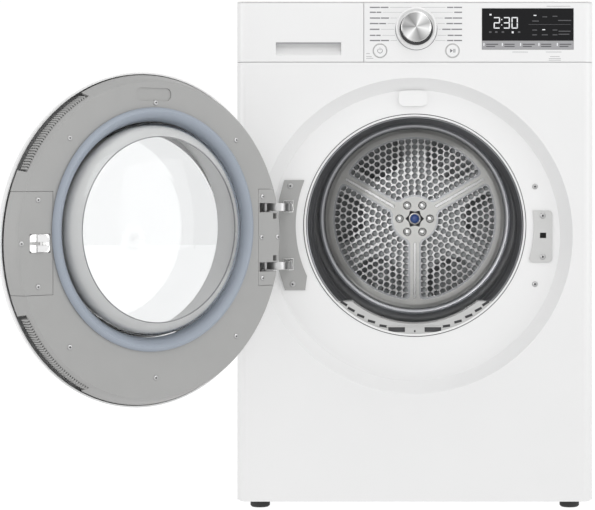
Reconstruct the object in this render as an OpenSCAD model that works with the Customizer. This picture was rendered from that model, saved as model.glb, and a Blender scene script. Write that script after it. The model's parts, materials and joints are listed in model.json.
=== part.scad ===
// Front-loading clothes dryer with a round door, heat pump and condensate tank.
// Origin: on the floor, under the middle of the cabinet. +X right, +Y to the back, +Z up.

/* [Cabinet] */
// Width over the side panels
cabinet_w = 596; // [590:1:600]
// Height from the floor to the top plate
cabinet_h = 850; // [846:1:856]
// Depth of the cabinet without the door
cabinet_d = 640; // [630:1:660]
// Gap between the floor and the underside of the cabinet
foot_gap = 14; // [12:1:18]
// Thickness of the steel sheets
sheet = 1.2; // [1:0.1:1.5]
// Wall of the moulded front parts
front_wall = 2.5; // [2:0.1:3]
// Radius of the rounded front corners
corner_r = 18; // [14:1:20]
// Height of the line between the front panel and the control panel
panel_split_z = 748; // [745:1:752]

/* [Door] */
// How far the door stands open
door_open_angle = 137.5; // [130:0.5:140]
// Height of the middle of the door
door_z = 458; // [455:1:461]
// Radius of the white outer cover
door_r = 263; // [262:0.5:264]
// Radius of the recess that the door closes into
recess_r = 264; // [264:0.5:265]
// Depth of that recess
recess_depth = 22; // [21:0.5:23]
// Distance of the hinge pins from the middle of the cabinet
hinge_x = 248; // [247:0.5:249]
// Distance of the hinge pins in front of the cabinet
hinge_out = 28; // [27:0.5:29]
// Distance between the two hinge arms
hinge_pitch = 97; // [94:1:100]
// Radius of a hinge pin
pin_r = 2.5; // [2.3:0.1:3]

/* [Drum] */
// Height of the drum's axis and of the loading opening
drum_z = 475; // [474:0.5:476]
// Outer radius of the drum
drum_r = 281; // [276:1:282]
// Radius of the drum's neck, at the front
neck_r = 187.2; // [187:0.1:188]
// Radius of the loading opening in the front panel
opening_r = 187; // [186:0.5:188]
// Radius of the drum's supporting rollers
roller_r = 20; // [18:0.5:20]
// Running gap between the drum and what carries or drives it
run_gap = 0.3; // [0.3:0.05:0.4]
// Radius of the motor's belt pulley
pulley_r = 12; // [11:0.5:13]

/* [Controls] */
// Radius of the knob's skirt
knob_r = 27.7; // [26:0.1:29]
// Radius of the two push buttons
button_r = 10.7; // [10:0.1:11]
// How far a push button travels
button_travel = 1.5; // [1:0.1:2]

/* [Hidden] */

$fn = 64;
half_w = cabinet_w / 2;
front_y = -cabinet_d / 2;
back_y = cabinet_d / 2;
floor_y = front_y + recess_depth;
behind_floor_y = floor_y + front_wall;
hinge_y = front_y - hinge_out;
tiny = 0.01;

// Control panel layout
seam_x = -85;
seam_gap = 0.8;
top_edge_z = cabinet_h - 3;
knob_x = 2.6;
knob_z = 806;
bezel_r = 35;
power_x = -58;
start_x = 63;
button_z = 767;
display_x0 = 112;
display_x1 = 265.5;
display_z0 = 768.8;
display_z1 = 838;
scoop_x0 = -232;
scoop_x1 = -123;
scoop_z = 781;

// Inside layout
bulkhead_y = -278;
neck_y0 = -268;
neck_y1 = -248;
drum_back_y = 180;
drum_sheet = 1.2;
rear_plate_y = 206;
back_panel_y = 300;
belt_y = 100;
belt_w = 8;
belt_t = 3;
motor_x = 120;
motor_z = 110;
idler_pivot = [70, 62];
idler_wheel = [53, 109.4];
idler_r = 15;
roller_angle = 40;
compressor_x = 200;
compressor_y = -150;
roller_d = neck_r + run_gap + roller_r;
tank_x0 = -292;
tank_x1 = -91;
tank_z0 = 763;
tank_z1 = 826;
tunnel_z0 = 760;
tunnel_z1 = 830;
foot_x = 261;
foot_y = 280;
stud_r = 5;
filter_half_w = 80;
filter_y0 = -289.5;
filter_y1 = -273.5;
filter_z0 = 140;
housing_r = 166;
housing_top_z = 347;

// Door layout, as radii and distances behind the hinge pins
rim_n = 12;
cover_arc_r = 29;
ring_r = 259;
ring_face_r = 250;
ring_face_n = 38;
ring_back_n = 14;
glass_z = drum_z;
seal_r = 190;

// Turns local +Z to +Y, on an axis at the given X and Z
module along_y(x, z) {
  translate([x, 0, z]) rotate([-90, 0, 0]) children();
}

// A ring turned about an axis along Y; points are [radius, y]
module turned(x, z, points, sides = 128) {
  along_y(x, z) rotate_extrude($fn = sides) polygon(points);
}

module rod_y(x, z, r, y0, y1, sides = 48) {
  along_y(x, z) translate([0, 0, y0]) cylinder(r = r, h = y1 - y0, $fn = sides);
}

module rod_z(x, y, r, z0, z1, sides = 48) {
  translate([x, y, z0]) cylinder(r = r, h = z1 - z0, $fn = sides);
}

module block(low, high) {
  translate(low) cube(high - low);
}

// An outline drawn in X and Z, with a thickness from y0 to y1
module front_slab(y0, y1) {
  translate([0, y1, 0]) rotate([90, 0, 0]) linear_extrude(y1 - y0) children();
}

// Rectangle with round corners
module round_rect(x0, z0, x1, z1, r) {
  translate([x0 + r, z0]) square([x1 - x0 - 2 * r, z1 - z0]);
  translate([x0, z0 + r]) square([x1 - x0, z1 - z0 - 2 * r]);
  for (x = [x0 + r, x1 - r], z = [z0 + r, z1 - r]) translate([x, z]) circle(r, $fn = 32);
}

// Box that is hollow and open on the side named
module open_box(low, high, wall, open_side) {
  lo_open = [for (i = [0:2]) open_side == -(i + 1) ? -1 : wall];
  hi_open = [for (i = [0:2]) open_side == i + 1 ? -1 : wall];
  difference() {
    block(low, high);
    block(low + lo_open, high - hi_open);
  }
}

// Points of an arc, as [x, y] pairs
function arc(cx, cy, r, a0, a1, steps = 8) =
  [for (i = [0:steps]) let (a = a0 + (a1 - a0) * i / steps) [cx + r * cos(a), cy + r * sin(a)]];

// Plan outline of a front moulding, rounded at its outer front corners
module wrap_plan(x0, x1, y0, y1, left_r, right_r) {
  intersection() {
    translate([x0, y0]) square([x1 - x0, y1 - y0]);
    union() {
      translate([x0 + left_r, y0]) square([x1 - x0 - left_r - right_r, y1 - y0]);
      if (left_r > 0) {
        translate([x0 + left_r, y0 + left_r]) circle(left_r);
        translate([x0, y0 + left_r]) square([left_r + tiny, y1 - y0 - left_r]);
      }
      if (right_r > 0) {
        translate([x1 - right_r, y0 + right_r]) circle(right_r);
        translate([x1 - right_r - tiny, y0 + right_r]) square([right_r + tiny, y1 - y0 - right_r]);
      }
    }
  }
}

// Front moulding: a wall with its edges returned towards the back
module wrap_shell(x0, x1, z0, z1, left_r, right_r) {
  w = front_wall;
  difference() {
    translate([0, 0, z0]) linear_extrude(z1 - z0)
      wrap_plan(x0, x1, front_y, floor_y, left_r, right_r);
    translate([0, 0, z0 + w]) linear_extrude(z1 - z0 - 2 * w)
      wrap_plan(x0 + w, x1 - w, front_y + w, floor_y + 1,
                max(left_r - w, 0), max(right_r - w, 0));
  }
}

// ---------------------------------------------------------------- cabinet

// Pressed side sheet with returned corners at its foot
module side_panel(side) {
  x_out = side * half_w;
  x_in = side * (half_w - 16);
  lo = min(x_out, x_in);
  hi = max(x_out, x_in);
  y0 = floor_y + 0.3;
  y1 = back_panel_y - 0.3;
  difference() {
    block([lo, y0, foot_gap], [hi, y1, cabinet_h - 18.3]);
    block([side > 0 ? lo - 1 : lo + sheet, y0 + sheet, foot_gap + sheet],
          [side > 0 ? hi - sheet : hi + 1, y1 - sheet, cabinet_h - 18.3 - sheet]);
    block([side > 0 ? lo - 1 : lo + 2, y0 + 14, foot_gap - 1],
          [side > 0 ? hi - 2 : hi + 1, y1 - 14, cabinet_h]);
    block([side > 0 ? lo - 1 : lo + 2, y0 - 1, foot_gap + 14],
          [side > 0 ? hi - 2 : hi + 1, y1 + 1, cabinet_h]);
  }
}

module side_panel_left() { color("white") side_panel(-1); }
module side_panel_right() { color("white") side_panel(1); }

module top_plate() {
  color("white") difference() {
    translate([0, 0, cabinet_h - 18]) linear_extrude(18)
      wrap_plan(-half_w, half_w, front_y + 2, back_y, corner_r, corner_r);
    block([-half_w - 1, front_y, cabinet_h - 19], [half_w + 1, floor_y + 0.5, top_edge_z + 0.5]);
    block([-half_w + 4, floor_y + 6, cabinet_h - 19], [half_w - 4, back_y - 4, cabinet_h - 6]);
  }
}

module hinge_slots(y0, y1, half_h) {
  for (s = [-1, 1])
    block([-hinge_x + 30, y0, door_z + s * hinge_pitch / 2 - half_h],
          [-hinge_x + 42, y1, door_z + s * hinge_pitch / 2 + half_h]);
}

module front_panel() {
  z1 = panel_split_z - seam_gap / 2;
  floor_r = recess_r - 20;
  color("white") difference() {
    union() {
      intersection() {
        difference() {
          wrap_shell(-half_w, half_w, foot_gap, z1, corner_r, corner_r);
          rod_y(0, door_z, recess_r + 2, front_y - 1, front_y + front_wall + 0.5, 128);
        }
        front_slab(front_y - 1, floor_y + 1)
          round_rect(-half_w, foot_gap, half_w, z1 + 20, 10);
      }
      turned(0, door_z, [
        [recess_r, front_y], [floor_r, floor_y], [0, floor_y], [0, behind_floor_y],
        [floor_r + 1.3, behind_floor_y], [recess_r + 2.8, front_y + 1], [recess_r + 2.8, front_y]
      ]);
      // pad that the door's upper pocket closes over
      front_slab(floor_y - 7, floor_y + 1) round_rect(-27, 675, 21, 701, 9);
    }
    rod_y(0, drum_z, opening_r, front_y, behind_floor_y + 1, 128);
    hinge_slots(floor_y - 1, behind_floor_y + 1, 8);
    block([209, floor_y - 1, door_z - 6], [222, behind_floor_y + 1, door_z + 6]);
  }
}

module control_panel() {
  x0 = seam_x + seam_gap / 2;
  z0 = panel_split_z + seam_gap / 2;
  color("white") difference() {
    union() {
      wrap_shell(x0, half_w, z0, top_edge_z, 0, corner_r);
      // raised ring round the knob
      turned(knob_x, knob_z, [
        [knob_r + 2, front_y + 1], [knob_r + 2, front_y - 1.5], [knob_r + 4, front_y - 2.5],
        [bezel_r - 1, front_y - 1], [bezel_r, front_y + 1]
      ]);
      // tunnel that holds the water tank
      open_box([tank_x0 - 4, floor_y + 0.5, tunnel_z0], [tank_x1 + 4, 204, tunnel_z1], 2, -2);
      block([tank_x1 + 3, floor_y + 0.5, tunnel_z0 + 1], [tank_x1 + 9, floor_y + 8, tunnel_z1]);
      block([x0 + 0.2, floor_y - 2, tunnel_z0 + 1], [tank_x1 + 9, floor_y + 1, tunnel_z1]);
    }
    rod_y(knob_x, knob_z, 6, front_y - 3, floor_y, 48);
    for (x = [power_x, start_x])
      rod_y(x, button_z, button_r + 0.4, front_y - 1, front_y + 4, 48);
    block([display_x0, front_y - 1, display_z0], [display_x1, front_y + 1.5, display_z1]);
  }
}

module display_panel() {
  color("black") block([display_x0 + 0.2, front_y + 0.1, display_z0 + 0.2],
                       [display_x1 - 0.2, front_y + 1.5, display_z1 - 0.2]);
}

module back_panel() {
  color("silver") difference() {
    block([-half_w + 1, back_panel_y, 60], [half_w - 1, back_panel_y + sheet, cabinet_h - 18.5]);
    rod_y(0, drum_z, 236, back_panel_y - 1, back_panel_y + 3, 96);
    rod_y(-230, 790, 9, back_panel_y - 1, back_panel_y + 3);
    rod_y(230, 790, 8, back_panel_y - 1, back_panel_y + 3);
    for (i = [0:7])
      block([150, back_panel_y - 1, 80 + 14 * i], [260, back_panel_y + 3, 86 + 14 * i]);
  }
}

module rear_duct_cover() {
  y = back_panel_y + sheet;
  color("silver") turned(0, drum_z, [
    [0, back_y - sheet], [222, back_y - sheet], [236, y], [250, y], [250, y + sheet],
    [237, y + sheet], [223, back_y], [0, back_y]
  ]);
}

// Moulded base with the ducts of the heat pump and the scroll of the fan
module base_tray() {
  z0 = foot_gap + 1.5;
  x = half_w - 20;
  color("dimgray") difference() {
    union() {
      open_box([-x, -290, z0], [x, 296, 60], 3, 3);
      open_box([-262, -206, z0 + 3 - tiny], [-52, 122, 178], 2.5, 3);
      turned(motor_x, motor_z, [[86, 216], [90, 216], [90, 262], [24, 262], [24, 259], [86, 259]]);
      block([motor_x - 60, 218, z0 + 3 - tiny], [motor_x + 60, 260, 40]);
      for (fx = [-foot_x, foot_x], fy = [-foot_y, foot_y])
        rod_z(fx, fy, 12, foot_gap, 56);
      // motor cradle
      for (y = [-12, 62])
        block([motor_x - 50, y, z0 + 3 - tiny], [motor_x + 50, y + 8, 90]);
    }
    for (fx = [-foot_x, foot_x], fy = [-foot_y, foot_y])
      rod_z(fx, fy, stud_r + 0.06, foot_gap - 1, 57);
    rod_y(motor_x, motor_z, 53, -20, 80, 64);
    rod_y(motor_x, motor_z, 86, 216.01, 259, 64);
    block([-240, -210, 70], [-74, -203, 170]);
    block([-240, 118, 70], [-74, 126, 170]);
  }
}

module front_bulkhead() {
  color("gainsboro") difference() {
    union() {
      front_slab(bulkhead_y, bulkhead_y + 4) round_rect(-280, 200, 280, 740, 40);
      turned(0, drum_z, [
        [199, bulkhead_y + 3], [203, bulkhead_y + 3], [203, neck_y0 + 7], [199, neck_y0 + 7]
      ]);
      for (s = [-1, 1])
        rod_y(s * roller_d * sin(roller_angle), drum_z - roller_d * cos(roller_angle),
              4.95, bulkhead_y + 3, neck_y1 + 1);
    }
    rod_y(0, drum_z, 186, bulkhead_y - 1, bulkhead_y + 5, 128);
    block([-92, bulkhead_y - 1, 190], [92, neck_y0 + 8, 330]);
    for (s = [-1, 1])
      block([s * 133 - 24, neck_y0 - 5, 290], [s * 133 + 24, neck_y1, 312]);
  }
}

module rear_bulkhead() {
  color("silver") difference() {
    union() {
      front_slab(rear_plate_y, rear_plate_y + 2) round_rect(-284, 192, 284, 752, 30);
      turned(0, drum_z, [
        [28, rear_plate_y + 1], [32, rear_plate_y + 1], [32, rear_plate_y + 28], [28, rear_plate_y + 28]
      ]);
      for (a = [0:60:300])
        along_y(0, drum_z) rotate(a) translate([30, -2, rear_plate_y + 1]) cube([200, 4, 12]);
    }
    rod_y(0, drum_z, 28, rear_plate_y - 1, rear_plate_y + 40);
    for (a = [30:60:330])
      rod_y(140 * sin(a), drum_z + 140 * cos(a), 46, rear_plate_y - 1, rear_plate_y + 3);
  }
}

// ---------------------------------------------------------------- loading opening

module opening_trim_ring() {
  color("gainsboro") difference() {
    turned(0, drum_z, [
      [192, floor_y], [192, floor_y - 2], [184, floor_y - 2], [180, -293], [177, -280],
      [172, -262], [172, -256], [174.5, -256], [174.5, -262], [179.5, -280], [183, -292], [186, floor_y]
    ]);
    block([-200, floor_y + 0.2, 200], [200, -250, housing_top_z + 0.3]);
  }
}

module filter_housing() {
  color("lightgray") difference() {
    union() {
      intersection() {
        turned(0, drum_z, [[housing_r, -297.5], [184.5, -297.5], [184.5, -257], [housing_r, -257]]);
        block([-200, -299, 200], [200, -250, housing_top_z]);
      }
      block([-filter_half_w - 4, -292, filter_z0 - 4], [filter_half_w + 4, -271, 300]);
    }
    block([-filter_half_w - 1, -290.5, filter_z0 - 1], [filter_half_w + 1, -272.5, 345]);
    // air slots beside the filter
    for (s = [-1, 1], i = [0:4])
      along_y(0, drum_z) rotate(90 + s * (30 + 2.6 * i))
        translate([housing_r - 1, -1.2, -290]) cube([3, 2.4, 26]);
  }
}

// Outer lint filter: a flat box with a curved top that follows the opening
module lint_filter_outer() {
  w = filter_half_w;
  color("lightgray") difference() {
    union() {
      block([-w, filter_y0, filter_z0], [w, filter_y1, 300]);
      intersection() {
        turned(0, drum_z, [[housing_r, filter_y0], [181, filter_y0], [181, filter_y1], [housing_r, filter_y1]]);
        block([-w, -299, 280], [w, -250, 345]);
      }
    }
    block([-w + 2, filter_y0 + 2, filter_z0 + 2], [w - 2, filter_y1 - 2, 346]);
    for (s = [-1, 1], i = [0:3])
      block([s * (20 + 15 * i) - 5, filter_y0 - 1, 160], [s * (20 + 15 * i) + 5, filter_y1 + 1, 280]);
  }
}

// Inner lint filter, with the grip that is seen at the opening's edge
module lint_filter_inner() {
  w = filter_half_w - 3;
  y0 = filter_y0 + 2.6;
  y1 = filter_y1 - 2.6;
  color("silver") difference() {
    union() {
      block([-w, y0, filter_z0 + 4], [w, y1, 296]);
      intersection() {
        turned(0, drum_z, [[housing_r + 0.5, y0], [181, y0], [181, y1], [housing_r + 0.5, y1]]);
        block([-w, -299, 280], [w, -250, 345]);
      }
    }
    block([-w + 2, y0 + 2, filter_z0 + 6], [w - 2, y1 - 2, 291]);
    for (s = [-1, 1])
      block([s * 30 - 16, y0 + 2, 280], [s * 30 + 16, y1 - 2, 346]);
  }
}

// ---------------------------------------------------------------- drum

module drum_shell() {
  t = drum_sheet;
  bead = 3;
  color("silver") turned(0, drum_z, [
    [neck_r, neck_y0], [neck_r, neck_y1], [drum_r - 6, -238], [drum_r, -230],
    [drum_r, -120], [drum_r - bead, -114], [drum_r - bead, -100], [drum_r, -94],
    [drum_r, drum_back_y], [drum_r - t, drum_back_y],
    [drum_r - t, -94], [drum_r - bead - t, -100], [drum_r - bead - t, -114], [drum_r - t, -120],
    [drum_r - t, -230], [drum_r - 6, -236.6], [neck_r - t, neck_y1 + t], [neck_r - t, neck_y0]
  ]);
}

module drum_back_plate() {
  r = drum_r - drum_sheet - 0.1;
  color("silver") difference() {
    union() {
      turned(0, drum_z, [
        [0, 178], [40, 178], [42, drum_back_y], [154, drum_back_y], [156, 177], [168, 177],
        [171, 184], [210, 178], [r - 4, 160], [r, 158], [r, 180], [r - 1.2, 180], [r - 1.2, 162],
        [r - 4, 161.8], [210, 180], [171, 186], [167, 179], [157, 179],
        [155, drum_back_y + 2], [42, drum_back_y + 2], [40, 182], [0, 182]
      ]);
      for (a = [30, 150, 270])
        along_y(0, drum_z) rotate(-a) translate([36, -11, 176.5]) cube([122, 22, 4]);
    }
    rod_y(0, drum_z, 6, 170, 190);
  }
}

module drum_lifters() {
  color("gainsboro") for (a = [90, 210, 330])
    along_y(0, drum_z) rotate(-a) translate([0, 0, -210]) linear_extrude(340)
      polygon([[274, -29], [260, -20], [240, -7], [236, 0], [240, 7], [260, 20], [274, 29]]);
}

module drum_shaft() {
  color("dimgray") {
    turned(0, drum_z, [
      [0, 182.2], [40, 182.2], [40, 188], [18, 194], [12, 198], [12, 250], [10, 254], [0, 254]
    ], 64);
    difference() {
      for (a = [30, 150, 270])
        along_y(0, drum_z) rotate(-a) translate([30, -12, 186.2]) cube([236, 24, 6]);
      rod_y(0, drum_z, 39, 180, 200);
    }
  }
}

module hub_screws() {
  color("lightsteelblue") {
    for (a = [0:60:300])
      rod_y(29 * sin(a), drum_z + 29 * cos(a), 4, 175, 178, 32);
    turned(0, drum_z, [[0, 171], [7, 171.5], [8, 173], [12, 174], [12, 178], [5.9, 178], [5.9, 182], [0, 182]], 48);
  }
}

module rear_bearing() {
  color("silver") turned(0, drum_z, [
    [12.05, 214], [15, 214], [15, 216], [24, 216], [24, 214], [28, 214],
    [28, 232], [24, 232], [24, 230], [15, 230], [15, 232], [12.05, 232]
  ], 64);
}

module front_felt_seal() {
  color("darkgray") difference() {
    turned(0, drum_z, [
      [neck_r + run_gap, neck_y0], [199, neck_y0], [199, neck_y0 + 6], [neck_r + run_gap, neck_y0 + 6]
    ]);
    block([-92, neck_y0 - 1, 190], [92, neck_y0 + 8, 330]);
  }
}

module drum_roller(side) {
  x = side * roller_d * sin(roller_angle);
  z = drum_z - roller_d * cos(roller_angle);
  color("dimgray") turned(x, z, [
    [5, -260], [12, -260], [14, -258], [roller_r - 2, -260], [roller_r, -259], [roller_r, -251],
    [roller_r - 2, -250], [14, -252], [12, -250], [5, -250]
  ], 64);
}

module drum_roller_left() { drum_roller(-1); }
module drum_roller_right() { drum_roller(1); }

// ---------------------------------------------------------------- drive

module belt_loop(extra) {
  hull() {
    translate([0, drum_z]) circle(drum_r + run_gap + extra, $fn = 96);
    translate([motor_x, motor_z]) circle(pulley_r + run_gap + extra, $fn = 32);
  }
}

module drive_belt() {
  color("black") front_slab(belt_y - belt_w / 2, belt_y + belt_w / 2) difference() {
    belt_loop(belt_t);
    belt_loop(0);
  }
}

module idler_arm() {
  px = idler_pivot[0];
  pz = idler_pivot[1];
  arm_y = belt_y + 9;
  color("silver") difference() {
    union() {
      front_slab(arm_y, arm_y + 4) hull() {
        translate(idler_pivot) circle(9, $fn = 32);
        translate(idler_wheel) circle(7, $fn = 32);
      }
      front_slab(arm_y, arm_y + 4) hull() {
        translate(idler_pivot) circle(9, $fn = 32);
        translate([px + 32, pz - 4]) circle(5, $fn = 32);
      }
      rod_y(idler_wheel[0], idler_wheel[1], 3.95, belt_y - 8, arm_y + 1);
    }
    rod_y(px, pz, 4.05, arm_y - 1, arm_y + 5);
  }
}

module idler_pulley() {
  color("black") turned(idler_wheel[0], idler_wheel[1], [
    [4, belt_y - 7], [idler_r - 1, belt_y - 7], [idler_r, belt_y - 6], [idler_r, belt_y + 6],
    [idler_r - 1, belt_y + 7], [4, belt_y + 7]
  ], 64);
}

// Coil spring between the base and the tail of the idler arm
module idler_spring() {
  turns = 8;
  pitch = 4.2;
  z0 = 19;
  color("silver") translate([idler_pivot[0] + 32, belt_y + 11, z0])
    rotate_extrude($fn = 32) polygon(concat(
      [[2, 0]],
      [for (i = [0:turns - 1]) each [[4, pitch * i], [5.5, pitch * (i + 0.5)]]],
      [[4, pitch * turns], [2, pitch * turns]]
    ));
}

module motor() {
  color("gray") difference() {
    union() {
      turned(motor_x, motor_z, [
        [0, -24], [16, -24], [18, -16], [44, -14], [51, -6], [52, 4], [52, 56], [51, 66],
        [44, 74], [18, 76], [16, 84], [0, 84]
      ], 64);
      // stud that carries the idler arm
      block([60, 70, 54], [84, 76, 112]);
      rod_y(idler_pivot[0], idler_pivot[1], 4, 75, belt_y + 15);
    }
    rod_y(motor_x, motor_z, 6.05, -30, 90);
    for (a = [0:30:330])
      along_y(motor_x, motor_z) rotate(a) translate([46, -2, 10]) cube([8, 4, 40]);
  }
}

module motor_shaft() {
  color("silver") union() {
    rod_y(motor_x, motor_z, 6, -34, 256);
    turned(motor_x, motor_z, [
      [5, 92], [16, 92], [16, 94], [pulley_r, 95], [pulley_r, 105], [16, 106], [16, 108], [5, 108]
    ], 48);
  }
}

module fan_impeller() {
  blades = 24;
  color("white") difference() {
    union() {
      turned(motor_x, motor_z, [[6, 250], [78, 250], [78, 253], [14, 253], [14, 256], [6, 256]], 64);
      turned(motor_x, motor_z, [[66, 222], [78, 222], [78, 225], [66, 225]], 64);
      for (i = [0:blades - 1])
        along_y(motor_x, motor_z) rotate(i * 360 / blades) translate([60, 0, 222.5]) rotate(35)
          translate([0, -0.6, 0]) cube([16, 1.2, 28]);
    }
    rod_y(motor_x, motor_z, 6, 240, 258);
  }
}

// ---------------------------------------------------------------- heat pump

module compressor() {
  x = compressor_x;
  y = compressor_y;
  color("#2b2b2e") {
    translate([x, y, 0]) rotate_extrude($fn = 64) polygon([
      [0, 36], [40, 38], [56, 46], [61, 58], [61, 190], [55, 204], [38, 213], [12, 216],
      [12, 222], [0, 222]
    ]);
    for (a = [30, 150, 270])
      translate([x, y, 0]) rotate(a) {
        translate([52, -12, 32]) cube([22, 24, 5]);
        rod_z(66, 0, 9, 18.6, 31.9, 32);
      }
  }
}

module coil_block(y0, y1) {
  fins = 10;
  step = (y1 - y0 - 1) / fins;
  for (i = [0:fins])
    block([-250, y0 + step * i, 26], [-64, y0 + step * i + 1, 172]);
  for (x = [-230, -190, -150, -110, -80], z = [50, 100, 150])
    rod_y(x, z, 4, y0 - 6, y1 + 6, 24);
}

module heat_exchangers() {
  color("silver") {
    coil_block(-180, -90);
    coil_block(-30, 90);
  }
}

module pipe_x(y, z, x0, x1) {
  translate([x0, y, z]) rotate([0, 90, 0]) cylinder(r = 4, h = x1 - x0, $fn = 24);
}

// Pressure pipe from the top of the compressor and suction pipe at its foot
module refrigerant_pipes() {
  duct_x = -47;
  high_z = 236;
  high_y = compressor_y + 70;
  low_y = -60;
  low_x = 160;
  color("peru") {
    rod_z(compressor_x, compressor_y, 4, 222.1, high_z, 24);
    translate([compressor_x, compressor_y, high_z]) sphere(4, $fn = 24);
    rod_y(compressor_x, high_z, 4, compressor_y, high_y, 24);
    translate([compressor_x, high_y, high_z]) sphere(4, $fn = 24);
    rod_z(compressor_x, high_y, 4, 72, high_z, 24);
    translate([compressor_x, high_y, 72]) sphere(4, $fn = 24);
    pipe_x(high_y, 72, duct_x, compressor_x);
    rod_y(low_x, 50, 4, -101.5, low_y, 24);
    translate([low_x, low_y, 50]) sphere(4, $fn = 24);
    pipe_x(low_y, 50, duct_x, low_x);
  }
}

module condensate_pump() {
  x = -200;
  y = 210;
  pipe_z = 80;
  reach = 80;
  hx = x - reach * cos(35);
  hy = y + reach * sin(35);
  color("white") {
    rod_z(x, y, 26, 19.2, 70);
    rod_z(x, y, 14, 70, 96);
    translate([x, y, pipe_z]) rotate([0, 0, 145]) rotate([0, 90, 0]) cylinder(r = 6, h = reach, $fn = 24);
    translate([hx, hy, pipe_z]) sphere(6, $fn = 24);
    rod_z(hx, hy, 6, pipe_z, 790, 24);
    translate([hx, hy, 790]) sphere(6, $fn = 24);
    rod_y(hx, 790, 6, 214, hy, 24);
  }
}

// Drain outlet and cord gland on the back
module rear_fittings() {
  y = back_panel_y + sheet;
  color("dimgray") {
    turned(-230, 790, [
      [5, 286], [8.9, 286], [8.9, y], [14, y], [14, y + 2], [9, y + 2], [9, 319], [5, 319]
    ], 48);
    turned(230, 790, [
      [4.25, 288], [7.9, 288], [7.9, y], [12, y], [12, y + 3], [8, y + 4], [7, 318], [4.25, 318]
    ], 48);
  }
}

// ---------------------------------------------------------------- hinge and catch

module hinge_plate() {
  y0 = floor_y - 2.5;
  color("darkgray") difference() {
    front_slab(y0, floor_y) difference() {
      polygon([[-219, 551], [-186, 551], [-172, 459], [-184, 366], [-218, 366],
               [-228, 398], [-228, 518]]);
      translate([0, drum_z]) circle(200, $fn = 128);
    }
    hinge_slots(y0 - 1, floor_y + 1, 7.5);
    for (z = [541, 376])
      rod_y(z > 500 ? -209 : -205, z, 2.2, y0 - 1, floor_y + 1, 24);
  }
}

// Outline of a bent strip: each point of the path is moved to both sides, along the mean normal
function side_of(path, i, half_t) =
  let (a = path[max(i - 1, 0)], b = path[i], c = path[min(i + 1, len(path) - 1)])
  let (u = i == 0 ? c - b : b - a, v = i == len(path) - 1 ? b - a : c - b)
  let (n = [-u[1], u[0]] / norm(u) + [-v[1], v[0]] / norm(v))
  b + n / norm(n) * half_t / (norm(n) / 2);

function strip(path, half_t) = concat(
  [for (i = [0:len(path) - 1]) side_of(path, i, half_t)],
  [for (i = [len(path) - 1:-1:0]) side_of(path, i, -half_t)]
);

// Goose-neck arms on one bracket behind the recess floor
module hinge_arms() {
  path = [[0, 0], [10, -5], [18, -8.5], [25, -7.5], [31, -2], [35, 8], [36, 20], [36, 52]];
  arm_t = 13;
  color("silver") difference() {
    union() {
      for (s = [-1, 1])
        translate([-hinge_x, hinge_y, door_z + s * hinge_pitch / 2 - arm_t / 2]) {
          linear_extrude(arm_t) polygon(strip(path, 3.5));
          cylinder(r = 6.5, h = arm_t, $fn = 48);
        }
      block([-228, behind_floor_y + 0.2, door_z - 78], [-192, behind_floor_y + 3.2, door_z + 78]);
    }
    for (s = [-1, 1])
      rod_z(-hinge_x, hinge_y, pin_r + 0.05, door_z + s * hinge_pitch / 2 - 20,
            door_z + s * hinge_pitch / 2 + 20);
  }
}

module catch_plate() {
  y0 = floor_y - 2.5;
  color("darkgray") difference() {
    front_slab(y0, floor_y) difference() {
      round_rect(192, 412.5, 231, 500, 7);
      translate([0, drum_z]) circle(200, $fn = 128);
    }
    block([210.3, y0 - 1, door_z - 4.5], [220.7, floor_y + 1, door_z + 4.5]);
    for (z = [491, 422])
      rod_y(215, z, 2.2, y0 - 1, floor_y + 1, 24);
  }
}

module door_lock() {
  y0 = behind_floor_y + 0.2;
  color("#3a3a3c") difference() {
    block([204, y0, door_z - 20], [232, bulkhead_y - 0.5, door_z + 20]);
    block([209, y0 - 1, door_z - 6], [222, bulkhead_y - 2.5, door_z + 6]);
    block([221.9, y0 + 5, door_z - 3.1], [233, y0 + 9, door_z + 3.1]);
  }
}

module latch_bolt() {
  y0 = behind_floor_y + 0.2;
  color("silver") block([221, y0 + 5.3, door_z - 2.8], [230, y0 + 8.7, door_z + 2.8]);
}

module screw_head(x, z, y, r) {
  turned(x, z, [[0, y - 2], [r * 0.6, y - 2], [r, y - 0.8], [r, y], [0, y]], 24);
}

module front_screws() {
  color("silver") {
    for (p = [[-209, 541], [-205, 376], [215, 491], [215, 422]]) {
      screw_head(p[0], p[1], floor_y - 2.5, 5);
      rod_y(p[0], p[1], 2.1, floor_y - 2.6, floor_y, 24);
    }
    for (z = [540, 376])
      screw_head(202, z, floor_y, 5);
  }
}

// ---------------------------------------------------------------- door
// The door's pieces are drawn closed, with y = 0 at the hinge pins, then swung open.

module door_place() {
  translate([-hinge_x, hinge_y, 0]) rotate(-door_open_angle) translate([hinge_x, 0, 0]) children();
}

module door_outer_cover() {
  cx = door_r - cover_arc_r;
  color("white") door_place() difference() {
    turned(0, door_z, concat(
      arc(cx, rim_n, cover_arc_r, 0, -90, 10),
      [[174, -23], [170, -22], [170, -19.5], [174, -20.5]],
      arc(cx, rim_n, cover_arc_r - 2.5, -90, 0, 10)
    ));
    // room for the hinge eyes and the ends of the pins
    for (s = [-1, 1]) {
      rod_z(-hinge_x, 0, 7.4, door_z + s * hinge_pitch / 2 - 8, door_z + s * hinge_pitch / 2 + 8);
      rod_z(-hinge_x, 0, pin_r + 0.4, door_z + s * hinge_pitch / 2 - 17, door_z + s * hinge_pitch / 2 + 17);
      // notch in the rim that the arm lies in when the door is open
      block([-268, 1, door_z + s * hinge_pitch / 2 - 8], [-246, rim_n + 1, door_z + s * hinge_pitch / 2 + 8]);
    }
  }
}

module door_window() {
  color([0.8, 0.85, 0.9, 0.3]) door_place() turned(0, door_z, [
    [0, -24], [120, -23], [169.5, -21], [169.5, -18], [120, -20], [0, -21]
  ]);
}

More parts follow.
